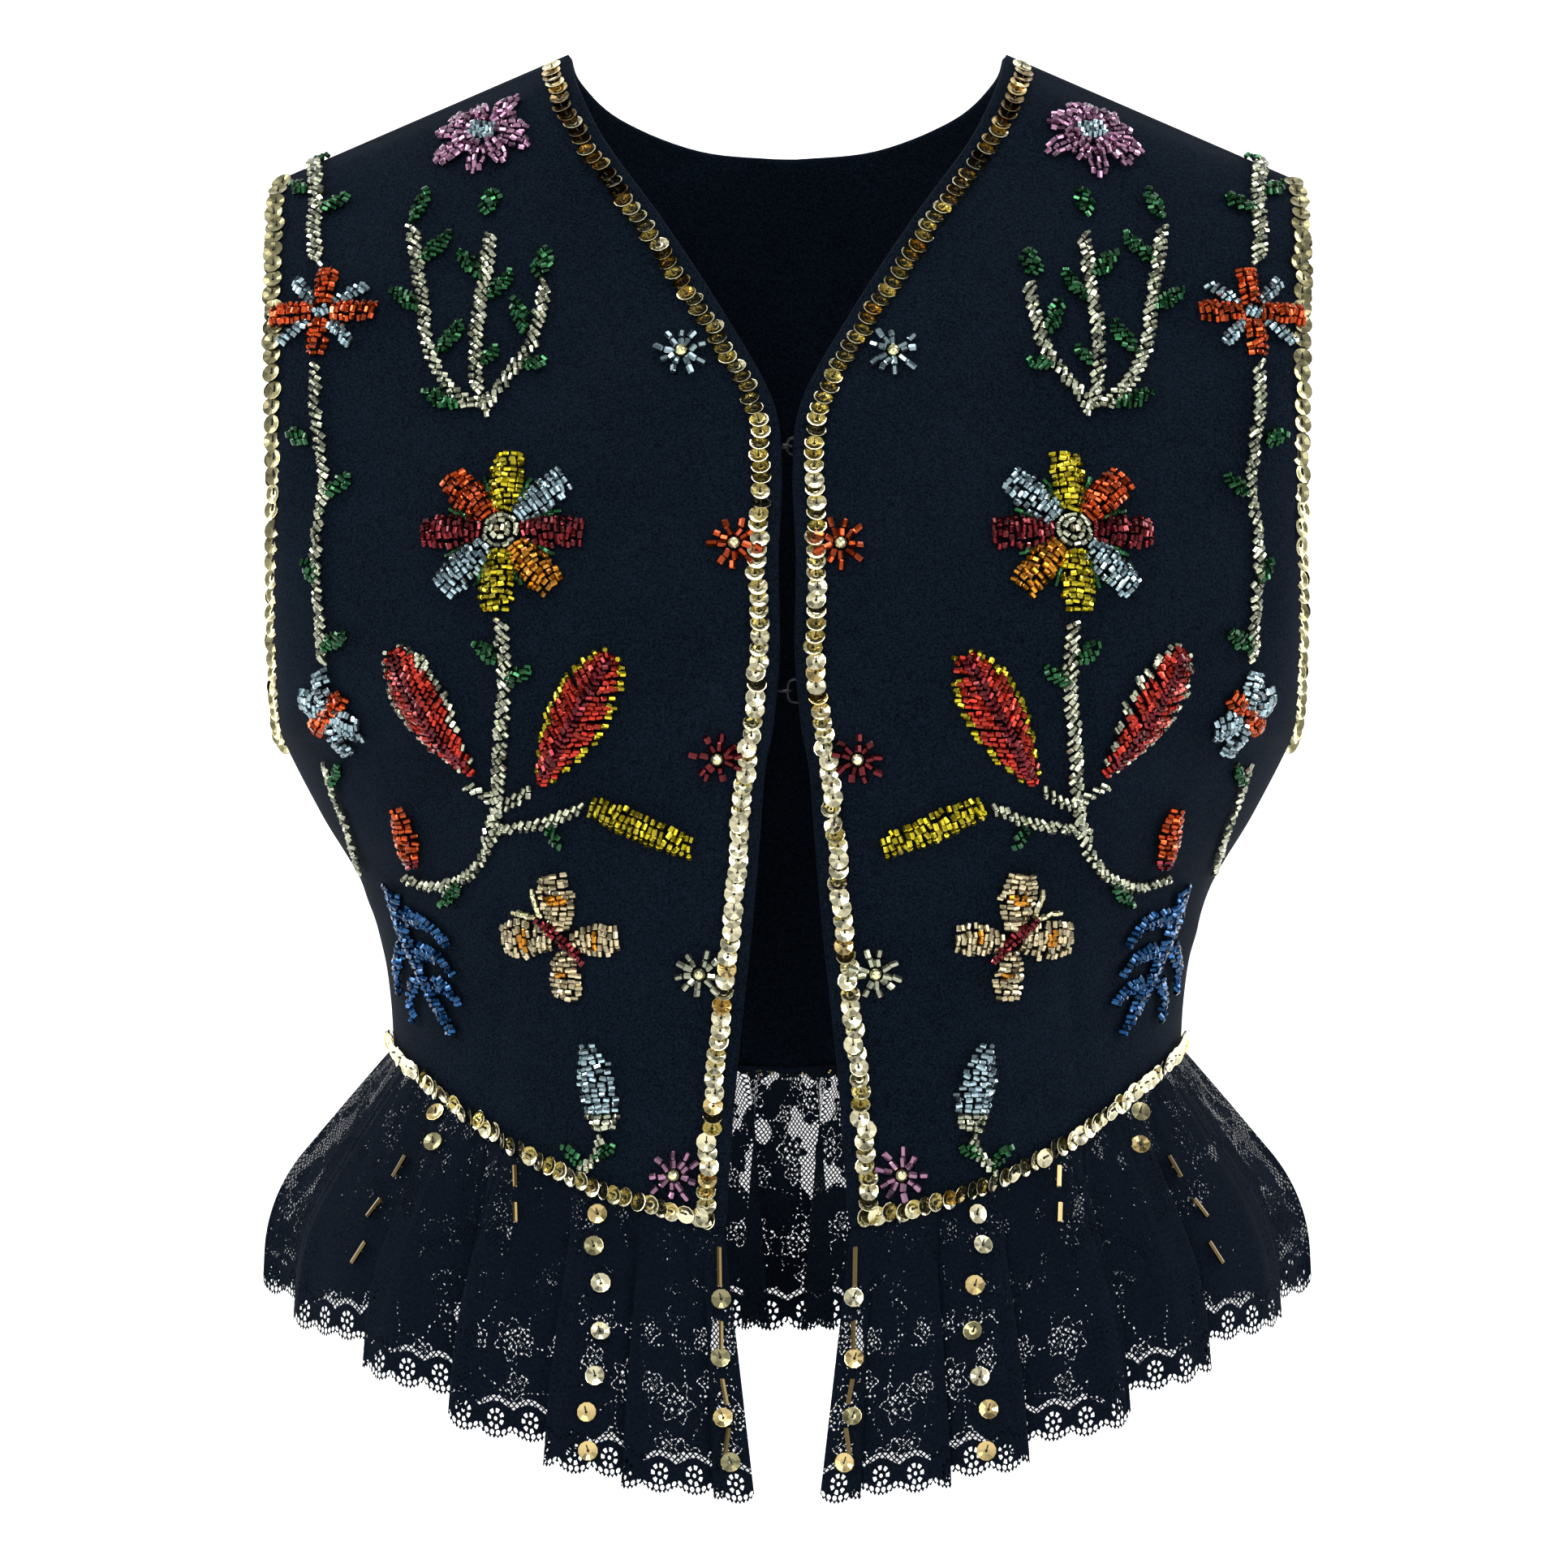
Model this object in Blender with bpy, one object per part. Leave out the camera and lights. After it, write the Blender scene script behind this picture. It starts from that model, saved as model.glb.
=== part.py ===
"""A cropped, sleeveless vest of black crepe with a gathered lace peplum, in its worn form.

Metres, +Z up. The front faces -Y, and +X is on the viewer's right. The origin is midway between the
two shoulder seams, where the wearer's shoulders hold the vest up. Both the shoulder seams and the
side seams lie in the plane Y = 0, so the fronts stay at Y < 0 and the back at Y > 0.
"""
import math
from collections import namedtuple

import bmesh
import bpy
import numpy as np
from mathutils import Matrix, Vector
from mathutils.bvhtree import BVHTree

SIDES = {"left": -1, "right": 1}    # as seen from the front

# Driving dimensions
CREPE = 0.0016          # thickness of the lined crepe
LACE = 0.0010           # thickness of the lace
SEAM_GAP = 0.0003       # gap between pieces that are sewn together
PEPLUM_DROP = 0.087     # cut depth of the lace ruffle
BUST_RISE = 0.009       # how far the darts throw the cloth forward at the bust
BUST_AT = (0.082, -0.186)
BUST_REACH = (0.042, 0.046)
HEM_EASE = 0.4          # how gently the hem line starts and ends, 0 for a straight run
STEPS_PER_SECTION = 2
FRONT_COLUMNS = 12
BACK_COLUMNS = 11
SHARP_ANGLE = 50        # edges sharper than this stay sharp, in degrees
HEM_SAMPLES = 400       # points that a seam line is measured along
NORMAL_STEP = 0.001     # share and step over which a slope is measured
CHEST_MIDDLE = (0, 0, -0.25)

# One row a section across half a panel. It runs from the inner edge (the neck, then the centre) to
# the outer edge (the armhole, then the side seam), and turns by an arc of "turn" degrees.
Section = namedtuple("Section", "inner_x inner_y inner_z outer_x outer_y outer_z turn")
FRONT = (
    Section(0.0715, 0.000, 0.022, 0.1650, 0.000, -0.0185, 5),
    Section(0.0690, -0.020, 0.012, 0.1675, -0.008, -0.023, 30),
    Section(0.0600, -0.038, -0.006, 0.1685, -0.020, -0.033, 50),
    Section(0.0410, -0.058, -0.032, 0.1690, -0.036, -0.052, 66),
    Section(0.0200, -0.078, -0.064, 0.1690, -0.047, -0.078, 76),
    Section(0.0052, -0.093, -0.091, 0.1685, -0.052, -0.102, 82),
    Section(0.0024, -0.102, -0.114, 0.1680, -0.052, -0.127, 86),
    Section(0.0034, -0.111, -0.143, 0.1680, -0.047, -0.153, 88),
    Section(0.0030, -0.117, -0.173, 0.1675, -0.035, -0.177, 89),
    Section(0.0052, -0.119, -0.198, 0.1660, -0.017, -0.197, 90),
    Section(0.0078, -0.118, -0.212, 0.1630, 0.000, -0.205, 90),
    Section(0.0098, -0.114, -0.238, 0.1515, 0.000, -0.227, 90),
    Section(0.0125, -0.108, -0.268, 0.1385, 0.000, -0.249, 90),
    Section(0.0160, -0.103, -0.300, 0.1320, 0.000, -0.270, 90),
    Section(0.0188, -0.100, -0.332, 0.1295, 0.000, -0.286, 90),
    Section(0.0207, -0.099, -0.361, 0.1285, 0.000, -0.301, 90),
)
BACK = (
    Section(0.0715, 0.000, 0.022, 0.1650, 0.000, -0.0185, 5),
    Section(0.0680, 0.015, 0.013, 0.1675, 0.008, -0.024, 30),
    Section(0.0550, 0.033, 0.001, 0.1685, 0.020, -0.035, 50),
    Section(0.0290, 0.046, -0.0095, 0.1690, 0.034, -0.052, 64),
    Section(0.0000, 0.050, -0.0125, 0.1690, 0.046, -0.074, 74),
    Section(0.0000, 0.069, -0.045, 0.1685, 0.053, -0.100, 82),
    Section(0.0000, 0.084, -0.085, 0.1680, 0.053, -0.127, 86),
    Section(0.0000, 0.093, -0.125, 0.1680, 0.047, -0.153, 88),
    Section(0.0000, 0.096, -0.160, 0.1675, 0.035, -0.178, 89),
    Section(0.0000, 0.095, -0.188, 0.1660, 0.018, -0.196, 90),
    Section(0.0000, 0.093, -0.206, 0.1630, 0.000, -0.205, 90),
    Section(0.0000, 0.088, -0.232, 0.1515, 0.000, -0.227, 90),
    Section(0.0000, 0.083, -0.258, 0.1385, 0.000, -0.249, 90),
    Section(0.0000, 0.080, -0.280, 0.1320, 0.000, -0.270, 90),
    Section(0.0000, 0.079, -0.296, 0.1295, 0.000, -0.286, 90),
    Section(0.0000, 0.079, -0.310, 0.1285, 0.000, -0.301, 90),
)
SIDE_SEAM_ROW = 10      # the first section whose outer end is on the side seam
BACK_JOINED_ROW = 4     # the first section whose inner end is on the centre back
NECK_CORNER = 0.3       # share of the back across which the neck's corner with that line fades

# One row a fold of the lace, from the inner end of its hem: share of the hem, and depth at the edge.
Fold = namedtuple("Fold", "share depth")
FRONT_FOLDS = (
    Fold(0.13, 0.0060),
    Fold(0.11, 0.0080),
    Fold(0.20, 0.0115),
    Fold(0.18, 0.0125),
    Fold(0.20, 0.0130),
    Fold(0.18, 0.0120),
)
BACK_FOLDS = (
    Fold(0.19, 0.0120),
    Fold(0.22, 0.0130),
    Fold(0.19, 0.0115),
    Fold(0.21, 0.0130),
    Fold(0.19, 0.0120),
)
COLUMNS_PER_FOLD = 8
LACE_ROWS = 6
GATHER = 0.0010         # depth of the folds where the lace is sewn on
FOLD_OPENING = 0.75     # below 1, the folds open quickly under the hem
CREST_WIDTH = 0.45      # widens the outer face of each fold, and narrows the valley behind it
FRONT_FLARE = (3.0, 25.0)   # degrees from vertical, at the front edge and at the side seam
BACK_FLARE = (18.0, 25.0)
FLARE_FULL = 1.5        # times the flare at which the lace stands out from the hem
FLARE_FALL = (0.5, 0.9) # shares of its drop between which it turns down to hang straight
FLARE_POWER = 1.6
EDGE_LEAN = 0.010       # how far the lace's front edge leans to the centre at its lower end
EDGE_LEAN_REACH = 0.14  # share of the hem over which that lean fades

# Hooks and eyes. They are sewn behind the front edges, hooks at -X and eyes at +X.
WIRE_RADIUS = 0.0004
WIRE_POINTS = 16
HOOK_CURL = 0.0013      # radius of the bend that holds the eye
HOOK_LENGTH = 0.0085
HOOK_TIP = 0.0014       # length of the bent-back tip
EYE_LENGTH = 0.0085
Fastening = namedtuple("Fastening", "z eye_rise")
FASTENINGS = {
    "upper": Fastening(-0.1050, 0.0030),
    "lower": Fastening(-0.1855, 0.0038),
}

# Padded beadwork. x and z are the motif's middle on the panel, seen from the front.
PAD_GAP = 0.0007        # a seam gap, and what the cloth's facets stand proud by
PAD_RIM = 0.0009        # thickness at a motif's outline
FINE_GRID = (120, 90)   # rows and columns of the surface that motifs are laid on
RAY_START = 0.03        # how far in front of the cloth its surface is looked for from
RING_SHARES = (0.55, 1.0)   # where a motif's two rings of points lie, out of its radius
CENTRE_HEIGHT = 0.8     # share of a motif's height at its very middle
LEAF_ROUNDNESS = 1.35   # exponent of a leaf's outline: 2 is an ellipse, 1 a lozenge
LEAF_POINTS = 16
Flower = namedtuple("Flower", "name x z radius petals dip height points")
FLOWERS = (
    Flower("shoulder_flower", 0.0985, -0.0060, 0.0145, 5, 0.30, 0.0022, 20),
    Flower("vine_flower", 0.1500, -0.0620, 0.0150, 4, 0.45, 0.0034, 24),
    Flower("side_flower", 0.1480, -0.1950, 0.0130, 4, 0.45, 0.0030, 24),
    Flower("large_flower", 0.0930, -0.1340, 0.0285, 8, 0.28, 0.0046, 32),
    Flower("butterfly", 0.0730, -0.2670, 0.0240, 4, 0.45, 0.0022, 24),
)
Leaf = namedtuple("Leaf", "name x z length width tilt height")
LEAVES = (
    Leaf("leaf_outer", 0.1170, -0.1940, 0.050, 0.021, 60, 0.0042),
    Leaf("leaf_inner", 0.0700, -0.1960, 0.050, 0.021, 120, 0.0042),
    Leaf("spray", 0.0480, -0.2300, 0.038, 0.012, 24, 0.0036),
    Leaf("bud_inner", 0.0620, -0.3150, 0.030, 0.013, 80, 0.0036),
    Leaf("bud_outer", 0.1240, -0.2330, 0.022, 0.012, 100, 0.0034),
)

# Colour (sRGB), roughness and metallic value of each material
CREPE_BLACK = ((0.040, 0.047, 0.068), 0.80, 0.0)
LACE_BLACK = ((0.035, 0.042, 0.066), 0.75, 0.0)
BLACK_WIRE = ((0.030, 0.030, 0.035), 0.35, 0.6)
BEAD_COLOURS = {
    "shoulder_flower": (0.66, 0.45, 0.62),
    "vine_flower": (0.80, 0.30, 0.08),
    "side_flower": (0.58, 0.70, 0.74),
    "large_flower": (0.78, 0.16, 0.10),
    "butterfly": (0.78, 0.72, 0.56),
    "leaf_outer": (0.76, 0.20, 0.12),
    "leaf_inner": (0.74, 0.68, 0.12),
    "spray": (0.72, 0.66, 0.12),
    "bud_inner": (0.56, 0.66, 0.68),
    "bud_outer": (0.78, 0.36, 0.12),
}
BEAD_ROUGHNESS = 0.25
BEAD_METALLIC = 0.3


def linear(channel):
    """One sRGB channel as a linear one."""
    return channel / 12.92 if channel <= 0.04045 else ((channel + 0.055) / 1.055) ** 2.4


def make_material(name, colour, roughness, metallic):
    material = bpy.data.materials.new(name)
    material.use_nodes = True
    shader = material.node_tree.nodes["Principled BSDF"]
    shader.inputs["Base Color"].default_value = (*(linear(c) for c in colour), 1.0)
    shader.inputs["Roughness"].default_value = roughness
    shader.inputs["Metallic"].default_value = metallic
    return material


def add_object(name, data, material):
    data.materials.append(material)
    made = bpy.data.objects.new(name, data)
    bpy.context.scene.collection.objects.link(made)
    return made


def through(points, step):
    """The point at a fractional index on a smooth curve through a list of points."""
    last = len(points) - 1
    at = min(int(step), last - 1)
    t = step - at
    before, start, end, after = (points[min(max(at + k, 0), last)] for k in (-1, 0, 1, 2))
    if at == 0:
        before = 2 * start - end
    if at == last - 1:
        after = 2 * end - start
    return 0.5 * (
        2 * start
        + (end - before) * t
        + (2 * before - 5 * start + 4 * end - after) * t ** 2
        + (3 * start - before - 3 * end + after) * t ** 3
    )


def section_point(section, share, ease):
    """A point of one section, at a share of its way from the inner to the outer edge."""
    turn = math.radians(section.turn)
    across = math.sin(turn * share) / math.sin(turn)
    deep = (1 - math.cos(turn * share)) / (1 - math.cos(turn))
    fall = share - ease * math.sin(2 * math.pi * share) / (2 * math.pi)
    return np.array((
        section.inner_x + (section.outer_x - section.inner_x) * across,
        section.inner_y + (section.outer_y - section.inner_y) * deep,
        section.inner_z + (section.outer_z - section.inner_z) * fall,
    ))


def panel_point(sections, share, step):
    """A point of a half panel's outer face: share runs across it, and step down its sections."""
    last = len(sections) - 1
    column = [section_point(s, share, HEM_EASE * i / last) for i, s in enumerate(sections)]
    point = through(column, step)
    if sections is BACK and share < NECK_CORNER:
        joined = BACK_JOINED_ROW
        above, below = column[:joined + 1], column[joined:]
        corner = through(above, step) if step <= joined else through(below, step - joined)
        point = corner + (point - corner) * share / NECK_CORNER
    if sections is FRONT:
        away = ((point[0] - BUST_AT[0]) / BUST_REACH[0]) ** 2
        away += ((point[2] - BUST_AT[1]) / BUST_REACH[1]) ** 2
        point[1] -= BUST_RISE * math.exp(-away / 2) * (1 - share ** 6)
    return point


def facing_out(across, down, toward):
    """The unit normal of two directions in a surface, on the side that toward points to."""
    normal = np.cross(across, down)
    normal /= np.linalg.norm(normal)
    return normal if normal @ toward > 0 else -normal


def panel_normal(sections, share, step, point):
    """The outward normal of a half panel. On a seam it has no part across the seam's plane."""
    small = NORMAL_STEP
    last = len(sections) - 1
    left, right = max(share - small, 0), min(share + small, 1)
    above, below = max(step - small, 0), min(step + small, last)
    across = panel_point(sections, right, step) - panel_point(sections, left, step)
    down = panel_point(sections, share, below) - panel_point(sections, share, above)
    normal = facing_out(across, down, point - np.array(CHEST_MIDDLE))
    if step == 0 or (share == 1 and step >= SIDE_SEAM_ROW):
        normal[1] = 0
    if sections is BACK and share == 0 and step >= BACK_JOINED_ROW:
        normal[0] = 0
    return normal / np.linalg.norm(normal)


def panel_grids(sections, columns):
    """The outer and inner points of a half panel, as two arrays of rows by columns by 3."""
    toward = -1 if sections is FRONT else 1
    outer, inner = [], []
    for row in range((len(sections) - 1) * STEPS_PER_SECTION + 1):
        step = row / STEPS_PER_SECTION
        for column in range(columns + 1):
            share = column / columns
            point = panel_point(sections, share, step)
            normal = panel_normal(sections, share, step, point)
            if step == 0 or (share == 1 and step >= SIDE_SEAM_ROW):
                point[1] = toward * SEAM_GAP / 2
            outer.append(point)
            inner.append(point - CREPE * normal)
    shape = (-1, columns + 1, 3)
    return np.array(outer).reshape(shape), np.array(inner).reshape(shape)


def wall_mesh(name, outer, inner, joined_from=None):
    """A closed wall between two grids of points. From row joined_from down, its first column is left
    open, to meet its mirrored half."""
    rows, columns = outer.shape[:2]
    points = np.concatenate((outer.reshape(-1, 3), inner.reshape(-1, 3)))
    behind = rows * columns
    faces = []
    for row in range(rows - 1):
        for column in range(columns - 1):
            a = row * columns + column
            ring = (a, a + columns, a + columns + 1, a + 1)
            faces.append(ring)
            faces.append([behind + corner for corner in reversed(ring)])
    rim = list(range(columns))
    rim += [row * columns + columns - 1 for row in range(1, rows)]
    rim += [(rows - 1) * columns + column for column in range(columns - 2, -1, -1)]
    rim += [row * columns for row in range(rows - 2, -1, -1)]
    for a, b in zip(rim, rim[1:]):
        in_first_column = a % columns == b % columns == 0
        if joined_from is None or not in_first_column or max(a, b) // columns <= joined_from:
            faces.append((a, b, behind + b, behind + a))
    return mesh_of(name, points, faces)


def mesh_of(name, points, faces):
    """A triangulated mesh with its faces turned outwards."""
    mesh = bpy.data.meshes.new(name)
    mesh.from_pydata([tuple(point) for point in points], [], faces)
    work = bmesh.new()
    work.from_mesh(mesh)
    bmesh.ops.triangulate(work, faces=work.faces)
    bmesh.ops.recalc_face_normals(work, faces=work.faces)
    work.to_mesh(mesh)
    work.free()
    mesh.shade_smooth()
    mesh.set_sharp_from_angle(angle=math.radians(SHARP_ANGLE))
    return mesh


def mirror_half(made):
    """Completes a half piece that ends in the plane X = 0."""
    mirror = made.modifiers.new("Other half", "MIRROR")
    mirror.merge_threshold = 0.0001


def build_fronts(material):
    """The two fronts, as half panels on either side of the opening."""
    outer, inner = panel_grids(FRONT, FRONT_COLUMNS)
    for side, sign in SIDES.items():
        flip = np.array((sign, 1, 1))
        name = f"front_{side}"
        add_object(name, wall_mesh(name, outer * flip, inner * flip), material)


def build_back(material):
    """The back, as a half panel that is mirrored at the centre back."""
    outer, inner = panel_grids(BACK, BACK_COLUMNS)
    joined_from = BACK_JOINED_ROW * STEPS_PER_SECTION
    mirror_half(add_object("back", wall_mesh("back", outer, inner, joined_from), material))


def hem_line(sections, shares):
    """Points in the middle of a half panel's lower rim, at shares of its length."""
    last = len(sections) - 1
    line = []
    for across in np.linspace(0, 1, HEM_SAMPLES):
        point = panel_point(sections, across, last)
        line.append(point - CREPE / 2 * panel_normal(sections, across, last, point))
    line = np.array(line)
    runs = np.concatenate(((0,), np.cumsum(np.linalg.norm(np.diff(line, axis=0), axis=1))))
    return np.stack([np.interp(shares, runs / runs[-1], line[:, axis]) for axis in range(3)], axis=1)


def ruffle_grids(sections, folds, flares):
    """The outer and inner points of a half ruffle, from the hem down, and across to the side."""
    phase = np.arange(len(folds) * COLUMNS_PER_FOLD + 1) / COLUMNS_PER_FOLD
    fold_ends = np.concatenate(((0,), np.cumsum([fold.share for fold in folds])))
    share = np.interp(phase, np.arange(len(fold_ends)), fold_ends / fold_ends[-1])
    depth = np.interp(phase, np.arange(len(folds)) + 0.5, [fold.depth for fold in folds])
    top = hem_line(sections, share)
    top[:, 2] -= SEAM_GAP + LACE / 2
    along = np.gradient(top, axis=0)
    outward = np.stack((along[:, 1], -along[:, 0], np.zeros(len(along))), axis=1)
    outward *= np.sign(np.sum(outward * top, axis=1, keepdims=True))
    outward /= np.linalg.norm(outward, axis=1, keepdims=True)
    outward[-1] = (1, 0, 0)
    if sections is BACK:
        outward[0] = (0, 1, 0)
    flare = np.radians(flares[0] + (flares[1] - flares[0]) * share ** FLARE_POWER)[:, None]
    turn = 2 * np.pi * phase
    crest = np.cos(turn - CREST_WIDTH * np.sin(turn))
    lean = np.zeros_like(share)
    if sections is FRONT:
        lean = EDGE_LEAN * np.clip(1 - share / EDGE_LEAN_REACH, 0, 1) ** 2
    middle, hang = [], top.copy()
    for step in range(LACE_ROWS + 1):
        fall = step / LACE_ROWS
        reach = (GATHER + (depth - GATHER) * fall ** FOLD_OPENING) / 2
        row = hang + outward * (crest * reach)[:, None]
        row[:, 0] -= lean * fall
        middle.append(row)
        hanging = np.clip(((step + 0.5) / LACE_ROWS - FLARE_FALL[0]) / np.ptp(FLARE_FALL), 0, 1)
        angle = flare * FLARE_FULL * (1 - hanging)
        fallen = outward * np.sin(angle) - np.array((0, 0, 1)) * np.cos(angle)
        hang = hang + fallen * PEPLUM_DROP / LACE_ROWS
    middle = np.array(middle)
    down, across = np.gradient(middle, axis=(0, 1))
    normal = np.cross(across, down)
    normal *= np.sign(np.sum(normal * outward, axis=2, keepdims=True))
    normal[:, -1, 1] = 0
    if sections is BACK:
        normal[:, 0, 0] = 0
    normal /= np.linalg.norm(normal, axis=2, keepdims=True)
    middle[:, -1, 1] = SEAM_GAP / 2 * (-1 if sections is FRONT else 1)
    return middle + LACE / 2 * normal, middle - LACE / 2 * normal


def build_peplum(material):
    """The gathered lace ruffle, in one piece a front and one across the back."""
    outer, inner = ruffle_grids(FRONT, FRONT_FOLDS, FRONT_FLARE)
    for side, sign in SIDES.items():
        flip = np.array((sign, 1, 1))
        name = f"peplum_front_{side}"
        add_object(name, wall_mesh(name, outer * flip, inner * flip), material)
    outer, inner = ruffle_grids(BACK, BACK_FOLDS, BACK_FLARE)
    mirror_half(add_object("peplum_back", wall_mesh("peplum_back", outer, inner, 0), material))


def front_edge(height):
    """A point on the front edge at a height, as if it lay at X = 0, and the edge's direction up."""
    steps = np.linspace(BACK_JOINED_ROW, len(FRONT) - 1, HEM_SAMPLES)
    edge = np.array([panel_point(FRONT, 0, step) for step in steps])
    at = int(np.argmin(np.abs(edge[:, 2] - height)))
    upward = edge[at - 1] - edge[at + 1]
    point = np.array((0, edge[at, 1], edge[at, 2]))
    upward[0] = 0
    return point, upward / np.linalg.norm(upward)


def wire(name, route, frame, material):
    """A wire along a smooth curve through a route's points: across, up and out from the edge."""
    point, upward = frame
    outward = np.cross((1, 0, 0), upward)
    data = bpy.data.curves.new(name, "CURVE")
    data.dimensions = "3D"
    data.bevel_depth = WIRE_RADIUS
    data.bevel_resolution = 1
    data.use_fill_caps = True
    spline = data.splines.new("POLY")
    spline.points.add(WIRE_POINTS - 1)
    route = [np.array(stop) for stop in route]
    for target, step in zip(spline.points, np.linspace(0, len(route) - 1, WIRE_POINTS)):
        across, up, out = through(route, step)
        target.co = (*(point + across * np.array((1, 0, 0)) + up * upward + out * outward), 1)
    return add_object(name, data, material)


def build_fastening(name, fastening, material):
    """A hook on the viewer's left front and its eye on the other, both under the cloth."""
    frame = front_edge(fastening.z)
    depth = -(CREPE + SEAM_GAP + WIRE_RADIUS)
    rise = fastening.eye_rise
    wire(f"eye_{name}", (
        (EYE_LENGTH, -0.8 * rise, depth),
        (EYE_LENGTH / 2, -rise, depth),
        (0.2 * rise, -0.85 * rise, depth),
        (0, 0, depth),
        (0.2 * rise, 0.85 * rise, depth),
        (EYE_LENGTH / 2, rise, depth),
        (EYE_LENGTH, 0.8 * rise, depth),
    ), frame, material)
    half = math.sqrt(0.5) * HOOK_CURL
    wire(f"hook_{name}", (
        (-HOOK_LENGTH, 0, depth),
        (-HOOK_LENGTH / 2, 0, depth),
        (-2 * HOOK_CURL, 0, depth - HOOK_CURL * 0.8),
        (0, 0, depth - HOOK_CURL),
        (half, 0, depth - half),
        (HOOK_CURL, 0, depth),
        (half, 0, depth + half),
        (0, 0, depth + HOOK_CURL),
        (-HOOK_TIP, 0, depth + HOOK_CURL),
    ), frame, material)


def leaf_radius(leaf, angle):
    """How far a leaf's outline lies from its middle, at an angle."""
    long_way = abs(math.cos(angle)) / (leaf.length / 2)
    short_way = abs(math.sin(angle)) / (leaf.width / 2)
    return (long_way ** LEAF_ROUNDNESS + short_way ** LEAF_ROUNDNESS) ** (-1 / LEAF_ROUNDNESS)


def flower_radius(flower, angle):
    """How far a flower's outline lies from its middle, at an angle."""
    return flower.radius * (1 - flower.dip * (0.5 - 0.5 * math.cos(flower.petals * angle)))


def front_surface():
    """The viewer's right front, finely enough meshed to lay the beadwork on."""
    rows, columns = FINE_GRID
    last = len(FRONT) - 1
    points = [
        panel_point(FRONT, column / columns, last * row / rows)
        for row in range(rows + 1) for column in range(columns + 1)
    ]
    faces = []
    for row in range(rows):
        for column in range(columns):
            a = row * (columns + 1) + column
            faces.append((a, a + columns + 1, a + columns + 2, a + 1))
    return BVHTree.FromPolygons(points, faces)


def pad_mesh(name, surface, pad, outline, count, tilt):
    """A low cushion of beads: a ring of points a share out, laid on the panel, and one in front."""
    ahead = Vector((pad.x, -1, pad.z))
    middle, normal, _, _ = surface.ray_cast(ahead, Vector((0, 1, 0)))
    normal = normal if normal.y < 0 else -normal
    across = Vector((0, 0, 1)).cross(normal).normalized()
    up = normal.cross(across)
    back_points, front_points = [], []
    for ring in (0.0, *RING_SHARES):
        height = pad.height * (1 - ring ** 2) + PAD_RIM * ring ** 2
        if ring == 0:
            height *= CENTRE_HEIGHT
        for k in range(count if ring else 1):
            angle = 2 * math.pi * k / count
            reach = ring * outline(pad, angle)
            aside = across * (reach * math.cos(angle + tilt)) + up * (reach * math.sin(angle + tilt))
            hit, facing, _, _ = surface.ray_cast(middle + aside + normal * RAY_START, -normal)
            facing = facing if facing.dot(normal) > 0 else -facing
            back_points.append(hit + facing * PAD_GAP)
            front_points.append(hit + facing * (PAD_GAP + height))
    behind = len(front_points)
    faces = []
    for k in range(count):
        a, b = 1 + k, 1 + (k + 1) % count
        c, d = a + count, b + count
        faces += [(0, a, b), (a, c, d, b), (behind, behind + b, behind + a)]
        faces += [(behind + a, behind + b, behind + d, behind + c), (c, behind + c, behind + d, d)]
    return mesh_of(name, front_points + back_points, faces)


def build_beadwork():
    """The padded motifs, the same on each front and mirrored."""
    surface = front_surface()
    pads = [(flower, flower_radius, flower.points, math.pi / 2) for flower in FLOWERS]
    pads += [(leaf, leaf_radius, LEAF_POINTS, math.radians(leaf.tilt)) for leaf in LEAVES]
    for pad, outline, count, tilt in pads:
        colour = BEAD_COLOURS[pad.name]
        material = make_material(f"{pad.name} beads", colour, BEAD_ROUGHNESS, BEAD_METALLIC)
        for side, sign in SIDES.items():
            name = f"{pad.name}_{side}"
            mesh = pad_mesh(name, surface, pad, outline, count, tilt)
            if sign < 0:
                mesh.transform(Matrix.Diagonal((-1, 1, 1, 1)))
                mesh.flip_normals()
            add_object(name, mesh, material)


def main():
    for old in list(bpy.data.objects):
        bpy.data.objects.remove(old)
    crepe = make_material("Black crepe", *CREPE_BLACK)
    lace = make_material("Black lace", *LACE_BLACK)
    enamel = make_material("Black wire", *BLACK_WIRE)
    build_fronts(crepe)
    build_back(crepe)
    build_peplum(lace)
    for name, fastening in FASTENINGS.items():
        build_fastening(name, fastening, enamel)
    build_beadwork()


main()
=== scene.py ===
"""Looks of the cropped vest: black crepe, bead and sequin embroidery, and a gathered lace peplum.

Metres, +Z up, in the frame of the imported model: the front faces -Y, and +X is the viewer's right.
Pieces that both fronts carry are laid out on the viewer's right and mirrored for the left.
"""
import math
from collections import namedtuple

import bmesh
import bpy
import numpy as np
from mathutils import Matrix, Vector
from mathutils.bvhtree import BVHTree


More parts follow.
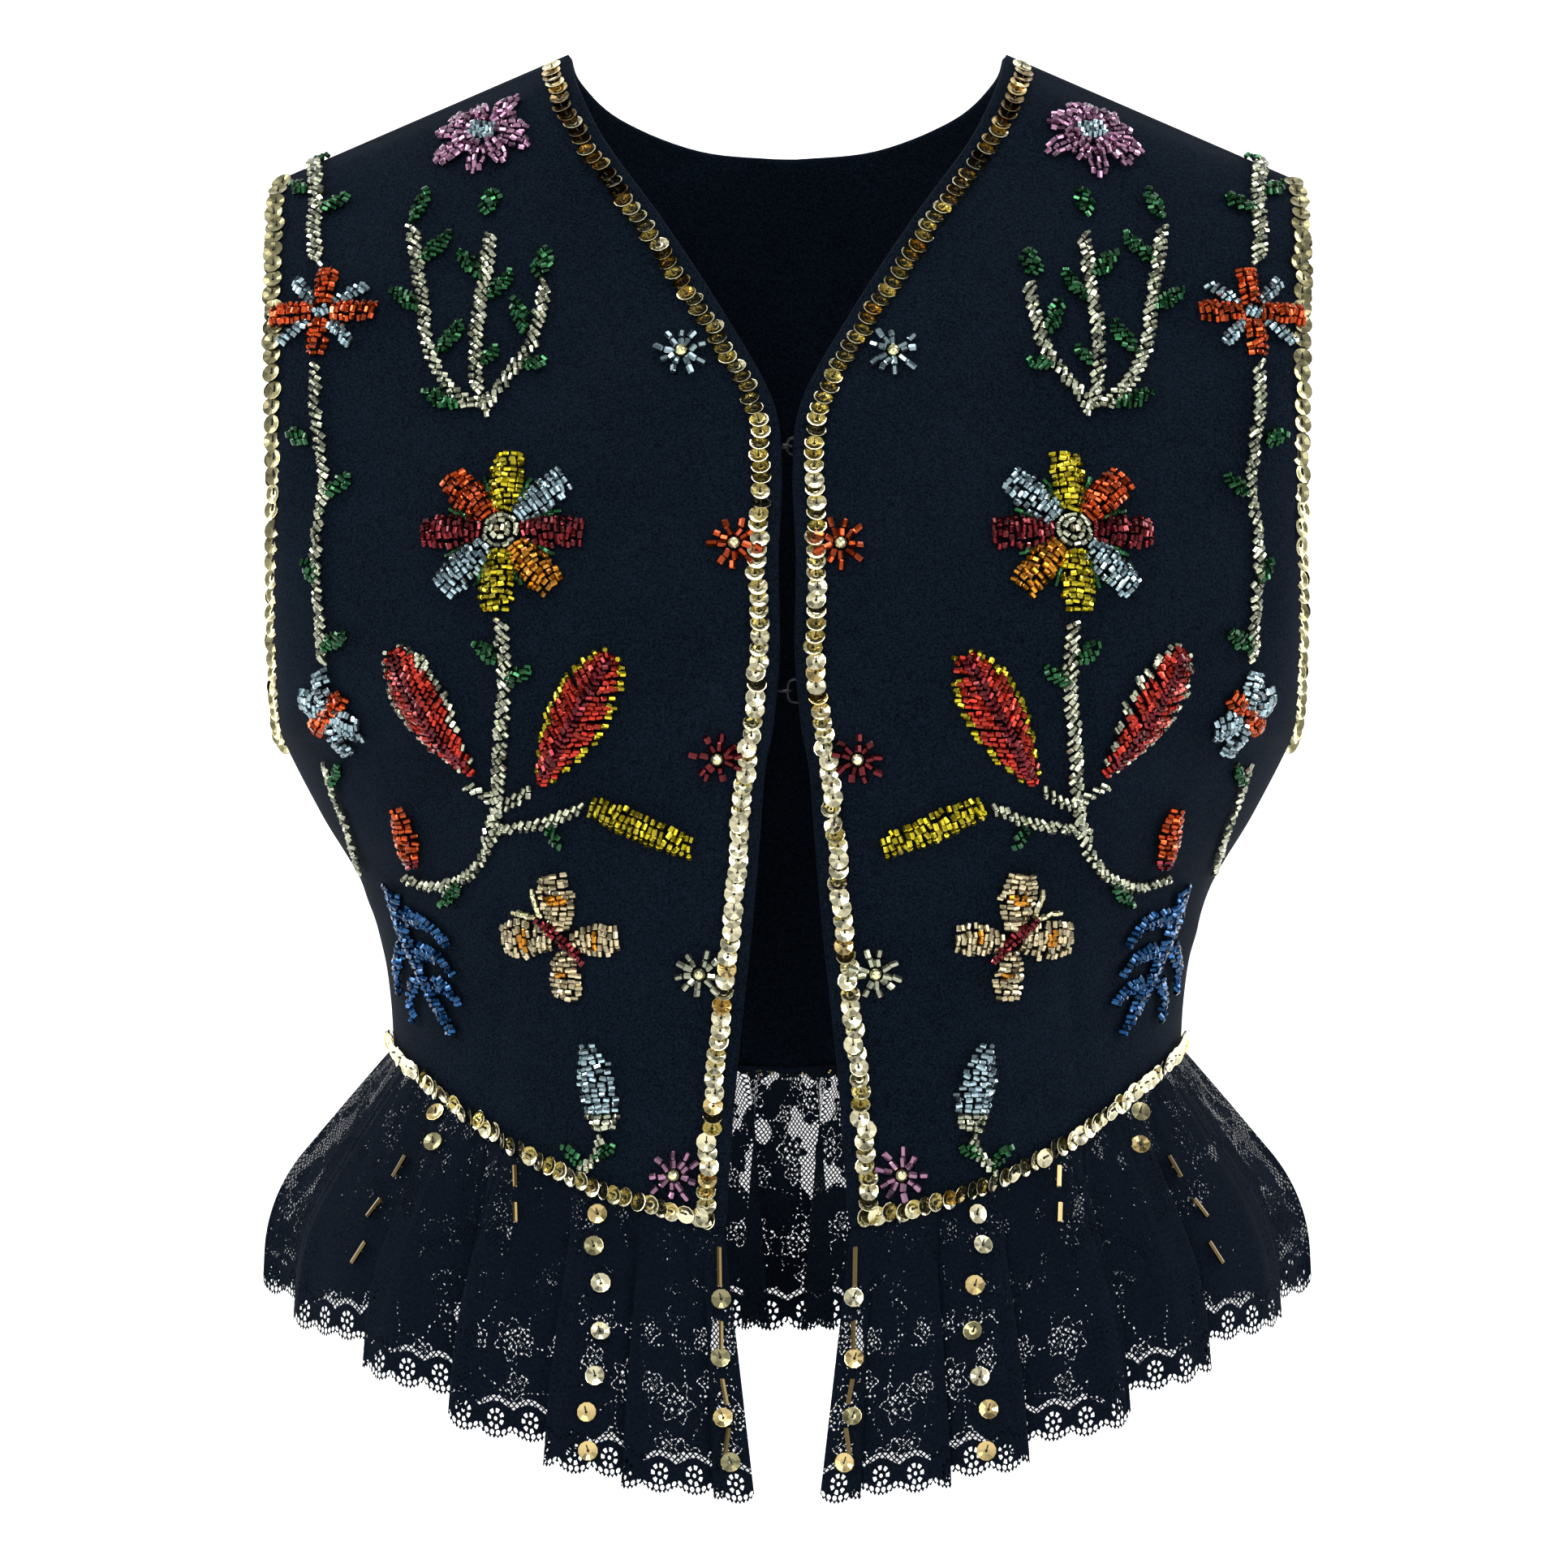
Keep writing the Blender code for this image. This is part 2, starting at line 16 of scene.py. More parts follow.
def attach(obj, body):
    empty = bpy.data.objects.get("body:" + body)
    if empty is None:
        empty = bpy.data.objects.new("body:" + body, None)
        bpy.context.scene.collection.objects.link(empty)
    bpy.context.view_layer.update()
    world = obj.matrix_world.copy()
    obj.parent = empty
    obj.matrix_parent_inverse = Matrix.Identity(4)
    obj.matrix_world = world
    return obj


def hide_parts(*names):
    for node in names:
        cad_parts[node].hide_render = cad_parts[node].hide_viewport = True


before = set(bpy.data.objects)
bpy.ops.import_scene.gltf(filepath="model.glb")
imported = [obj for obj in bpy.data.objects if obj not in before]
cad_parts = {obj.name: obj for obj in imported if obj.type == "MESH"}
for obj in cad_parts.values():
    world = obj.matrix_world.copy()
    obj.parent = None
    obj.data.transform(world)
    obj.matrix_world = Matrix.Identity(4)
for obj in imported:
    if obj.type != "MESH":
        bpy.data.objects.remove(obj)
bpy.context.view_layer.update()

bl_info = {
    "name": "Cropped vest",
    "version": (1, 0, 0),
    "blender": (4, 5, 0),
    "location": "3D View > Sidebar > Vest",
    "description": "Makes a beaded crepe vest with a lace peplum",
    "category": "Add Mesh",
}

SIDES = {"left": -1, "right": 1}    # as seen from the front
SEED = 41

# The panels, as in the CAD source
SEAM_GAP = 0.0003           # between the crepe and the lace
SEAM_CLOSED = -0.00003      # sewn edges lap by this, so that no light shows between them
BUST_RISE = 0.009
BUST_AT = (0.082, -0.186)
BUST_REACH = (0.042, 0.046)
HEM_EASE = 0.4
CHEST_MIDDLE = np.array((0, 0, -0.25))
SIDE_SEAM_ROW = 10
BACK_JOINED_ROW = 4
NECK_CORNER = 0.3

# Inner end x, y, z, outer end x, y, z, and degrees of turn of each section
FRONT = np.array((
    (0.0715, 0.000, 0.022, 0.1650, 0.000, -0.0185, 5),
    (0.0690, -0.020, 0.012, 0.1675, -0.008, -0.023, 30),
    (0.0600, -0.038, -0.006, 0.1685, -0.020, -0.033, 50),
    (0.0410, -0.058, -0.032, 0.1690, -0.036, -0.052, 66),
    (0.0200, -0.078, -0.064, 0.1690, -0.047, -0.078, 76),
    (0.0052, -0.093, -0.091, 0.1685, -0.052, -0.102, 82),
    (0.0024, -0.102, -0.114, 0.1680, -0.052, -0.127, 86),
    (0.0034, -0.111, -0.143, 0.1680, -0.047, -0.153, 88),
    (0.0030, -0.117, -0.173, 0.1675, -0.035, -0.177, 89),
    (0.0052, -0.119, -0.198, 0.1660, -0.017, -0.197, 90),
    (0.0078, -0.118, -0.212, 0.1630, 0.000, -0.205, 90),
    (0.0098, -0.114, -0.238, 0.1515, 0.000, -0.227, 90),
    (0.0125, -0.108, -0.268, 0.1385, 0.000, -0.249, 90),
    (0.0160, -0.103, -0.300, 0.1320, 0.000, -0.270, 90),
    (0.0188, -0.100, -0.332, 0.1295, 0.000, -0.286, 90),
    (0.0207, -0.099, -0.361, 0.1285, 0.000, -0.301, 90),
))
BACK = np.array((
    (0.0715, 0.000, 0.022, 0.1650, 0.000, -0.0185, 5),
    (0.0680, 0.015, 0.013, 0.1675, 0.008, -0.024, 30),
    (0.0550, 0.033, 0.001, 0.1685, 0.020, -0.035, 50),
    (0.0290, 0.046, -0.0095, 0.1690, 0.034, -0.052, 64),
    (0.0000, 0.050, -0.0125, 0.1690, 0.046, -0.074, 74),
    (0.0000, 0.069, -0.045, 0.1685, 0.053, -0.100, 82),
    (0.0000, 0.084, -0.085, 0.1680, 0.053, -0.127, 86),
    (0.0000, 0.093, -0.125, 0.1680, 0.047, -0.153, 88),
    (0.0000, 0.096, -0.160, 0.1675, 0.035, -0.178, 89),
    (0.0000, 0.095, -0.188, 0.1660, 0.018, -0.196, 90),
    (0.0000, 0.093, -0.206, 0.1630, 0.000, -0.205, 90),
    (0.0000, 0.088, -0.232, 0.1515, 0.000, -0.227, 90),
    (0.0000, 0.083, -0.258, 0.1385, 0.000, -0.249, 90),
    (0.0000, 0.080, -0.280, 0.1320, 0.000, -0.270, 90),
    (0.0000, 0.079, -0.296, 0.1295, 0.000, -0.286, 90),
    (0.0000, 0.079, -0.310, 0.1285, 0.000, -0.301, 90),
))

# The lace folds, as in the CAD source: share of the hem, and depth at the edge
FRONT_FOLDS = ((0.13, 0.0060), (0.11, 0.0080), (0.20, 0.0115), (0.18, 0.0125), (0.20, 0.0130),
               (0.18, 0.0120))
BACK_FOLDS = ((0.19, 0.0120), (0.22, 0.0130), (0.19, 0.0115), (0.21, 0.0130), (0.19, 0.0120))
PEPLUM_DROP = 0.087
GATHER = 0.0010
FOLD_OPENING = 0.75
CREST_WIDTH = 0.45
FRONT_FLARE = (3.0, 25.0)
BACK_FLARE = (18.0, 25.0)
FLARE_FULL = 1.5
FLARE_FALL = (0.5, 0.9)
FLARE_POWER = 1.6
EDGE_LEAN = 0.010
EDGE_LEAN_REACH = 0.14
PLEAT_REACH = 0.33      # how far a fold's crest lies over the next fold, as a share of its width
GATHER_WAVES = (33, 47, 61)     # small gathers under the hem: waves along half the body
GATHER_HEIGHT = 0.0009
WANDER_WAVES = (7, 12, 19)      # uneven hang lower down
WANDER_HEIGHT = 0.0008
FOLD_ROUNDING = 0.0014          # how far the sides of a fold lean under its crest
SCALLOPS_FROM = 0.8             # share of the drop where the scallops begin to show
SIDE_OPENNESS, FRONT_CLOSENESS = 1.5, 1.1

CREASE_BEND = 1.6       # how far a crease bows, in metres for a square metre
CREASE_FADE = 1 / 16    # share of a panel's breadth at a seam that has no creases

# Soft creases. x and z of the middle, length, half width, degrees from +X, and depth outwards
Crease = namedtuple("Crease", "x z length width tilt depth")
FRONT_CREASES = {
    "right": (
        Crease(0.092, -0.275, 0.110, 0.0030, 92, -0.0010),
        Crease(0.140, -0.148, 0.070, 0.0090, 38, -0.0013),
        Crease(0.126, -0.170, 0.055, 0.0070, 46, 0.0009),
        Crease(0.128, -0.248, 0.050, 0.0055, 14, -0.0013),
        Crease(0.118, -0.266, 0.042, 0.0050, 8, 0.0009),
        Crease(0.108, -0.285, 0.050, 0.0070, 22, -0.0009),
        Crease(0.052, -0.062, 0.080, 0.0110, 128, -0.0008),
        Crease(0.058, -0.330, 0.060, 0.0100, 82, 0.0010),
        Crease(0.036, -0.296, 0.070, 0.0085, 97, -0.0008),
        Crease(0.125, -0.072, 0.060, 0.0100, 64, -0.0008),
    ),
    "left": (
        Crease(0.092, -0.275, 0.110, 0.0030, 92, -0.0010),
        Crease(0.138, -0.155, 0.060, 0.0085, 44, -0.0012),
        Crease(0.122, -0.182, 0.048, 0.0060, 52, 0.0010),
        Crease(0.126, -0.243, 0.055, 0.0050, 10, -0.0012),
        Crease(0.120, -0.258, 0.046, 0.0055, 18, 0.0010),
        Crease(0.102, -0.292, 0.044, 0.0065, 12, -0.0010),
        Crease(0.048, -0.070, 0.070, 0.0100, 124, -0.0009),
        Crease(0.064, -0.326, 0.064, 0.0090, 88, 0.0009),
        Crease(0.040, -0.300, 0.060, 0.0095, 93, -0.0009),
        Crease(0.118, -0.080, 0.055, 0.0110, 70, -0.0007),
    ),
}
BACK_CREASES = (
    Crease(0.000, -0.170, 0.190, 0.0060, 90, -0.0009),
    Crease(0.066, -0.250, 0.110, 0.0030, 88, -0.0010),
    Crease(-0.066, -0.250, 0.110, 0.0030, 92, -0.0010),
    Crease(0.096, -0.100, 0.090, 0.0120, 58, -0.0014),
    Crease(-0.100, -0.108, 0.080, 0.0110, 118, -0.0013),
    Crease(0.112, -0.200, 0.060, 0.0060, 20, -0.0013),
    Crease(0.104, -0.218, 0.050, 0.0055, 12, 0.0010),
    Crease(-0.108, -0.206, 0.064, 0.0065, 163, -0.0013),
    Crease(-0.100, -0.224, 0.048, 0.0055, 170, 0.0011),
    Crease(0.030, -0.228, 0.070, 0.0070, 6, 0.0010),
    Crease(-0.034, -0.236, 0.060, 0.0065, 175, -0.0010),
    Crease(0.040, -0.278, 0.050, 0.0080, 84, 0.0010),
    Crease(-0.044, -0.282, 0.046, 0.0085, 96, 0.0009),
)

# Bead glass, silver-lined. The colours of the finished beads, in sRGB
BEAD_COLOURS = {
    "silver_green": "#ccd0b4",
    "emerald": "#0f5529",
    "orange": "#cc4c02",
    "pale_blue": "#a6c0c8",
    "lilac": "#b584a3",
    "champagne": "#d3c49c",
    "crimson": "#760c19",
    "amber": "#d68c14",
    "yellow": "#d0bf14",
    "coral": "#bd2910",
    "royal_blue": "#004c80",
    "gold": "#ecdfac",
}
COLOUR_ORDER = list(BEAD_COLOURS)

Bead = namedtuple("Bead", "centre along out length width colour tint")


class VestCloth(bpy.types.PropertyGroup):
    """Sizes of the crepe and the lace, and the depth of the creases"""

    crepe_thickness: bpy.props.FloatProperty(
        name="Crepe thickness", description="Thickness of the lined crepe", default=0.0016,
        unit="LENGTH", min=0.0008, max=0.003)
    crease_strength: bpy.props.FloatProperty(
        name="Creases", description="Depth of the soft creases, out of the worn ones", default=1.0,
        subtype="FACTOR", min=0, max=2)
    lace_thickness: bpy.props.FloatProperty(
        name="Lace thickness", description="Thickness that the lace hangs in", default=0.0010,
        unit="LENGTH", min=0.0005, max=0.002)
    scallop_width: bpy.props.FloatProperty(
        name="Scallop width", description="Width of one scallop of the lace's edge", default=0.0115,
        unit="LENGTH", min=0.005, max=0.03)
    scallop_depth: bpy.props.FloatProperty(
        name="Scallop depth", description="How far a scallop hangs below its notch", default=0.0032,
        unit="LENGTH", min=0, max=0.008)


class VestSequins(bpy.types.PropertyGroup):
    """Sizes and spacing of the cup sequins"""

    diameter: bpy.props.FloatProperty(
        name="Sequin diameter", description="Diameter of one cup sequin", default=0.0066,
        unit="LENGTH", min=0.003, max=0.01)
    spacing: bpy.props.FloatProperty(
        name="Spacing", description="Distance between sequins along the front and the hem",
        default=0.0041, unit="LENGTH", min=0.002, max=0.01)
    armhole_spacing: bpy.props.FloatProperty(
        name="Armhole spacing", description="Distance between sequins round an armhole",
        default=0.0056, unit="LENGTH", min=0.002, max=0.012)
    inset: bpy.props.FloatProperty(
        name="Inset", description="Distance of the row's middle from the turned front edge",
        default=0.0063, unit="LENGTH", min=0.003, max=0.012)


class VestBeads(bpy.types.PropertyGroup):
    """Sizes of the two-cut beads"""

    length: bpy.props.FloatProperty(
        name="Bead length", description="Length of one two-cut bead", default=0.0023,
        unit="LENGTH", min=0.001, max=0.004)
    width: bpy.props.FloatProperty(
        name="Bead width", description="Width of one two-cut bead", default=0.00185,
        unit="LENGTH", min=0.001, max=0.003)
    unevenness: bpy.props.FloatProperty(
        name="Unevenness", description="How unevenly the beads lie, 0 for machine work",
        default=1.0, subtype="FACTOR", min=0, max=2)


class VestStage(bpy.types.PropertyGroup):
    """The backdrop and the light"""

    backdrop: bpy.props.FloatVectorProperty(
        name="Backdrop", description="Colour of the paper sweep", default=(0.93, 0.93, 0.93),
        subtype="COLOR", size=3, min=0, max=1)
    light: bpy.props.FloatProperty(
        name="Light", description="Strength of the softboxes", default=1.0, subtype="FACTOR",
        min=0, max=3)


def linear(code):
    """An sRGB hex colour as the linear values that a shader takes."""
    channels = [int(code[i:i + 2], 16) / 255 for i in (1, 3, 5)]
    return tuple(c / 12.92 if c <= 0.04045 else ((c + 0.055) / 1.055) ** 2.4
                 for c in channels) + (1,)


def unit(vectors):
    """Vectors along the last axis, at length 1."""
    return vectors / np.maximum(np.linalg.norm(vectors, axis=-1, keepdims=True), 1e-12)


def part_way(value, start, end):
    """How far a value is on its way from start to end, held between 0 and 1."""
    return np.clip((value - start) / (end - start), 0, 1)


def inside_edges(shares, width):
    """1 well inside a panel, and down to 0 over a width at each of its two edges."""
    return np.minimum(part_way(shares, 0, width), part_way(shares, 1, 1 - width))


def run_lengths(path):
    """The length of a path up to each of its points."""
    return np.concatenate(((0,), np.cumsum(np.linalg.norm(np.diff(path, axis=0), axis=1))))


def along_path(path, runs, at):
    """Points of a path at given lengths along it, out of its run lengths."""
    return np.stack([np.interp(at, runs, path[:, axis]) for axis in range(path.shape[1])], axis=-1)


def add_node(tree, kind, settings=None, tones=(), **links):
    """Adds a node. A link is a socket, a Number or a value, named for its input, or "_3" for input
    number 3. Tones are the two ends of a colour ramp, each a place and a colour."""
    node = tree.nodes.new(kind)
    for key, value in (settings or {}).items():
        setattr(node, key, value)
    for end, (place, colour) in enumerate(tones):
        node.color_ramp.elements[end].position = place
        node.color_ramp.elements[end].color = linear(colour) if isinstance(colour, str) else colour
    for key, value in links.items():
        if key[0] == "_":
            target = node.inputs[int(key[1:])]
        else:
            target = node.inputs[key.replace("_", " ")]
        if isinstance(value, Number):
            value = value.socket
        if isinstance(value, bpy.types.NodeSocket):
            tree.links.new(value, target)
        else:
            target.default_value = value
    return node


class Number:
    """A number in a node tree. Python's signs on it add the nodes that work it out."""

    def __init__(self, tree, socket):
        self.tree = tree
        self.socket = socket

    def to(self, operation, *others):
        """The result of an operation on this number and others."""
        links = {f"_{k}": other for k, other in enumerate((self, *others))}
        node = add_node(self.tree, "ShaderNodeMath", {"operation": operation}, **links)
        return Number(self.tree, node.outputs[0])

    def larger(self, other):
        return self.to("MAXIMUM", other)

    def smaller(self, other):
        return self.to("MINIMUM", other)

    def __abs__(self):
        return self.to("ABSOLUTE")

    def __add__(self, other):
        return self.to("ADD", other)

    def __sub__(self, other):
        return self.to("SUBTRACT", other)

    def __rsub__(self, other):
        return self.to("MULTIPLY_ADD", -1.0, other)

    def __mul__(self, other):
        return self.to("MULTIPLY", other)

    def __truediv__(self, other):
        return self.to("DIVIDE", other)

    def __lt__(self, other):
        return self.to("LESS_THAN", other)

    def __gt__(self, other):
        return self.to("GREATER_THAN", other)


def new_material(name, **sockets):
    """A Principled material with plain values on its sockets. Returns it, its tree and shader."""
    material = bpy.data.materials.new(name)
    material.use_nodes = True
    tree = material.node_tree
    shader = tree.nodes["Principled BSDF"]
    for key, value in sockets.items():
        shader.inputs[key.replace("_", " ")].default_value = value
    return material, tree, shader


def hand_over(made, node=None, slot=None):
    """Hangs a piece on the root body, and hides the node it replaces, if any. The slot it is given
    is not used.
    """
    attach(made, "root")
    if node:
        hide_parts(node)


# Cloth

def through(points, steps):
    """Rows at fractional indices on smooth curves through a stack of rows."""
    last = len(points) - 1
    at = np.clip(steps.astype(int), 0, last - 1)
    t = (steps - at)[:, None, None]
    start, end = points[at], points[at + 1]
    before = np.where((at == 0)[:, None, None], 2 * start - end, points[np.maximum(at - 1, 0)])
    after = np.where((at == last - 1)[:, None, None], 2 * end - start,
                     points[np.minimum(at + 2, last)])
    return 0.5 * (
        2 * start
        + (end - before) * t
        + (2 * before - 5 * start + 4 * end - after) * t ** 2
        + (3 * start - before - 3 * end + after) * t ** 3
    )


def panel_points(sections, shares, steps):
    """Points of a half panel's outer face, as rows by columns by 3."""
    last = len(sections) - 1
    turn = np.radians(sections[:, 6])[:, None]
    swept = turn * shares
    ease = HEM_EASE * np.arange(last + 1)[:, None] / last
    mix = np.stack((
        np.sin(swept) / np.sin(turn),
        (1 - np.cos(swept)) / (1 - np.cos(turn)),
        shares - ease * np.sin(2 * np.pi * shares) / (2 * np.pi),
    ), axis=2)
    inner, outer = sections[:, None, :3], sections[:, None, 3:6]
    column = inner + (outer - inner) * mix
    points = through(column, steps)
    if sections is BACK:
        joined = BACK_JOINED_ROW
        above = through(column[:joined + 1], np.clip(steps, 0, joined))
        below = through(column[joined:], np.clip(steps - joined, 0, None))
        corner = np.where((steps <= joined)[:, None, None], above, below)
        points = corner + (points - corner) * np.clip(shares / NECK_CORNER, 0, 1)[:, None]
    else:
        away = ((points[..., 0] - BUST_AT[0]) / BUST_REACH[0]) ** 2
        away += ((points[..., 2] - BUST_AT[1]) / BUST_REACH[1]) ** 2
        points[..., 1] -= BUST_RISE * np.exp(-away / 2) * (1 - shares ** 6)
    return points


def grid_normals(points, sections, steps):
    """Outward normals of a panel's grid. On a seam they have no part across the seam's plane."""
    down, across = np.gradient(points, axis=(0, 1))
    normals = np.cross(across, down)
    normals *= np.sign(np.sum(normals * (points - CHEST_MIDDLE), axis=2, keepdims=True))
    normals[steps == 0, :, 1] = 0
    normals[steps >= SIDE_SEAM_ROW, -1, 1] = 0
    if sections is BACK:
        normals[steps >= BACK_JOINED_ROW, 0, 0] = 0
    return unit(normals)


def crease_rise(creases, x, z):
    """How far the creases lift the cloth outwards, at points seen from the front."""
    rise = np.zeros_like(x)
    for crease in creases:
        turn = math.radians(crease.tilt)
        along = (x - crease.x) * math.cos(turn) + (z - crease.z) * math.sin(turn)
        aside = (z - crease.z) * math.cos(turn) - (x - crease.x) * math.sin(turn)
        aside = aside + CREASE_BEND * along ** 2
        rise += crease.depth * np.exp(-(aside / crease.width) ** 2
                                      - (2 * along / crease.length) ** 4)
    return rise


def cloth_grid(sections, creases, columns, rows, sign=1):
    """Outer points and normals of a half panel with its creases. Both seams stay where they are."""
    strength = bpy.context.scene.vest_cloth.crease_strength
    shares = np.linspace(0, 1, columns + 1)
    steps = np.linspace(0, len(sections) - 1, rows + 1)
    points = panel_points(sections, shares, steps)
    normals = grid_normals(points, sections, steps)
    fade = inside_edges(shares, CREASE_FADE)
    if sections is BACK:
        fade = part_way(shares, 1, 1 - CREASE_FADE)
    down = np.clip(steps * 1.5, 0, 1) * np.clip((len(sections) - 1 - steps) * 1.2, 0, 1)
    rise = crease_rise(creases, points[..., 0] * sign, points[..., 2])
    points = points + normals * (rise * fade * down[:, None] * strength)[..., None]
    toward = 1 if sections is BACK else -1
    points[steps == 0, :, 1] = toward * SEAM_CLOSED
    points[steps >= SIDE_SEAM_ROW, -1, 1] = toward * SEAM_CLOSED
    return points, grid_normals(points, sections, steps)


Surface = namedtuple("Surface", "points tree")


def grid_faces(rows, columns):
    """The four-sided faces of a grid of points, row by row."""
    starts = [row * columns + column for row in range(rows - 1) for column in range(columns - 1)]
    return [(a, a + columns, a + columns + 1, a + 1) for a in starts]


def surface_of(points):
    """A grid as something to lay pieces on."""
    tree = BVHTree.FromPolygons(points.reshape(-1, 3).tolist(), grid_faces(*points.shape[:2]))
    return Surface(points, tree)


def shell_faces(rows, columns, joined_from=None):
    """Faces of a shell with a rolled rim: outer points, inner points, then a ring of rim points."""
    behind = rows * columns
    faces = []
    for ring in grid_faces(rows, columns):
        faces.append(ring)
        faces.append([behind + corner for corner in reversed(ring)])
    rim = list(range(columns))
    rim += [row * columns + columns - 1 for row in range(1, rows)]
    rim += [(rows - 1) * columns + column for column in range(columns - 2, -1, -1)]
    rim += [row * columns for row in range(rows - 2, 0, -1)]
    rolled = 2 * behind
    for k, a in enumerate(rim):
        after = (k + 1) % len(rim)
        b = rim[after]
        in_first = a % columns == b % columns == 0
        if joined_from is not None and in_first and max(a, b) // columns > joined_from:
            continue
        faces.append((a, b, rolled + after, rolled + k))
        faces.append((rolled + k, rolled + after, behind + b, behind + a))
    return rim, faces


ROLLED_OUT = 0.42       # how far the middle of a turned edge stands out, of the cloth's thickness


def shell_points(points, normals, thickness, rim, flat):
    """Points of a shell. Its rim is rolled outwards, except where flat says it's in a seam."""
    inner = points - thickness * normals
    down, across = np.gradient(points, axis=(0, 1))
    away = np.zeros_like(points)
    away[0] -= unit(down[0])
    away[-1] += unit(down[-1])
    away[:, 0] -= unit(across[:, 0])
    away[:, -1] += unit(across[:, -1])
    away[np.abs(points[..., 0]) < 1e-6, 0] = 0
    middle = (points + inner) / 2
    middle += unit(away) * np.where(flat, 0, ROLLED_OUT * thickness)[..., None]
    return np.concatenate((points.reshape(-1, 3), inner.reshape(-1, 3),
                           middle.reshape(-1, 3)[rim]))


def object_of(name, points, faces, materials, weld=False, closed=True):
    """A smooth mesh object at the origin, with its faces turned outwards where it is closed."""
    mesh = bpy.data.meshes.new(name)
    mesh.from_pydata(np.asarray(points).tolist(), [], faces)
    work = bmesh.new()
    work.from_mesh(mesh)
    if weld:
        bmesh.ops.remove_doubles(work, verts=work.verts, dist=1e-6)
    if closed:
        bmesh.ops.recalc_face_normals(work, faces=work.faces)
    work.to_mesh(mesh)
    work.free()
    mesh.shade_smooth()
    for material in materials:
        mesh.materials.append(material)
    made = bpy.data.objects.new(name, mesh)
    bpy.context.scene.collection.objects.link(made)
    return made


def seam_mask(rows, columns, steps, back):
    """True at the points of a grid that lie in a seam."""
    flat = np.zeros((rows, columns), bool)
    flat[0] = True
    flat[steps >= SIDE_SEAM_ROW, -1] = True
    flat[-1] = True
    if back:
        flat[steps > BACK_JOINED_ROW + 0.01, 0] = True
    return flat


def crepe_material():
    """Wool or silk crepe: matt, with a fine pebbled grain from its twisted yarn. Woven."""
    material, tree, shader = new_material(
        "Black wool crepe, woven", Roughness=0.85, Specular_IOR_Level=0.02, Sheen_Weight=0.004,
        Sheen_Roughness=0.5)
    place = add_node(tree, "ShaderNodeTexCoord").outputs["Object"]
    # Yarns lie 0.35 mm apart. The grain is drawn at 0.7 mm, which is as fine as a pixel shows.
    grain = add_node(tree, "ShaderNodeTexNoise", Vector=place, Scale=1400.0, Detail=2.0,
                     Roughness=0.7)
    cloudy = add_node(tree, "ShaderNodeTexNoise", Vector=place, Scale=26.0, Detail=3.0,
                      Roughness=0.55)
    mixed = Number(tree, grain.outputs["Fac"]) * 0.86 + Number(tree, cloudy.outputs["Fac"]) * 0.14
    ramp = add_node(tree, "ShaderNodeValToRGB", tones=((0.36, "#03070c"), (0.66, "#131c28")),
                    Fac=mixed)
    tree.links.new(ramp.outputs["Color"], shader.inputs["Base Color"])
    bump = add_node(tree, "ShaderNodeBump", Strength=0.35, Distance=0.0003, Height=mixed)
    tree.links.new(bump.outputs["Normal"], shader.inputs["Normal"])
    return material


FRONT_GRID = (64, 120)     # columns and rows of a front's cloth, 8 rows a section
BACK_GRID = (56, 105)      # and of half the back's, 7 rows a section


def front_cloth(side):
    """The outer face of one front, laid out on the viewer's right."""
    return cloth_grid(FRONT, FRONT_CREASES[side], *FRONT_GRID)


class VEST_OT_crepe(bpy.types.Operator):
    """Makes the two fronts and the back from lined crepe"""

    bl_idname = "vest.crepe"
    bl_label = "Crepe panels"

    def execute(self, context):
        thickness = context.scene.vest_cloth.crepe_thickness
        crepe = crepe_material()
        for side, sign in SIDES.items():
            points, normals = front_cloth(side)
            rows, columns = points.shape[:2]
            steps = np.linspace(0, len(FRONT) - 1, rows)
            rim, faces = shell_faces(rows, columns)
            shell = shell_points(points, normals, thickness, rim,
                                 seam_mask(rows, columns, steps, False))
            made = object_of(f"crepe_front_{side}", shell * (sign, 1, 1), faces, [crepe])
            hand_over(made, f"front_{side}", "crepe")
        halves = []
        for sign in (1, -1):
            points, normals = cloth_grid(BACK, BACK_CREASES, *BACK_GRID, sign)
            rows, columns = points.shape[:2]
            steps = np.linspace(0, len(BACK) - 1, rows)
            joined = int(np.ceil(BACK_JOINED_ROW * (rows - 1) / (len(BACK) - 1)))
            rim, faces = shell_faces(rows, columns, joined)
            flat = seam_mask(rows, columns, steps, True)
            halves.append(shell_points(points, normals, thickness, rim, flat) * (sign, 1, 1))
        count = len(halves[0])
        faces = faces + [[corner + count for corner in reversed(face)] for face in faces]
        made = object_of("crepe_back", np.concatenate(halves), faces, [crepe], weld=True)
        hand_over(made, "back", "crepe")
        return {"FINISHED"}


# Lace

LACE_ROWS = 56
LACE_COLUMNS = 44       # for each fold


def hem_line(sections, shares, thickness):
    """Points in the middle of a half panel's lower rim, at shares of its length."""
    fine = np.linspace(0, 1, 401)
    steps = np.linspace(len(sections) - 1.004, len(sections) - 1, 3)
    points = panel_points(sections, fine, steps)
    line = points[-1] - thickness / 2 * grid_normals(points, sections, steps)[-1]
    runs = run_lengths(line)
    return along_path(line, runs / runs[-1], shares)


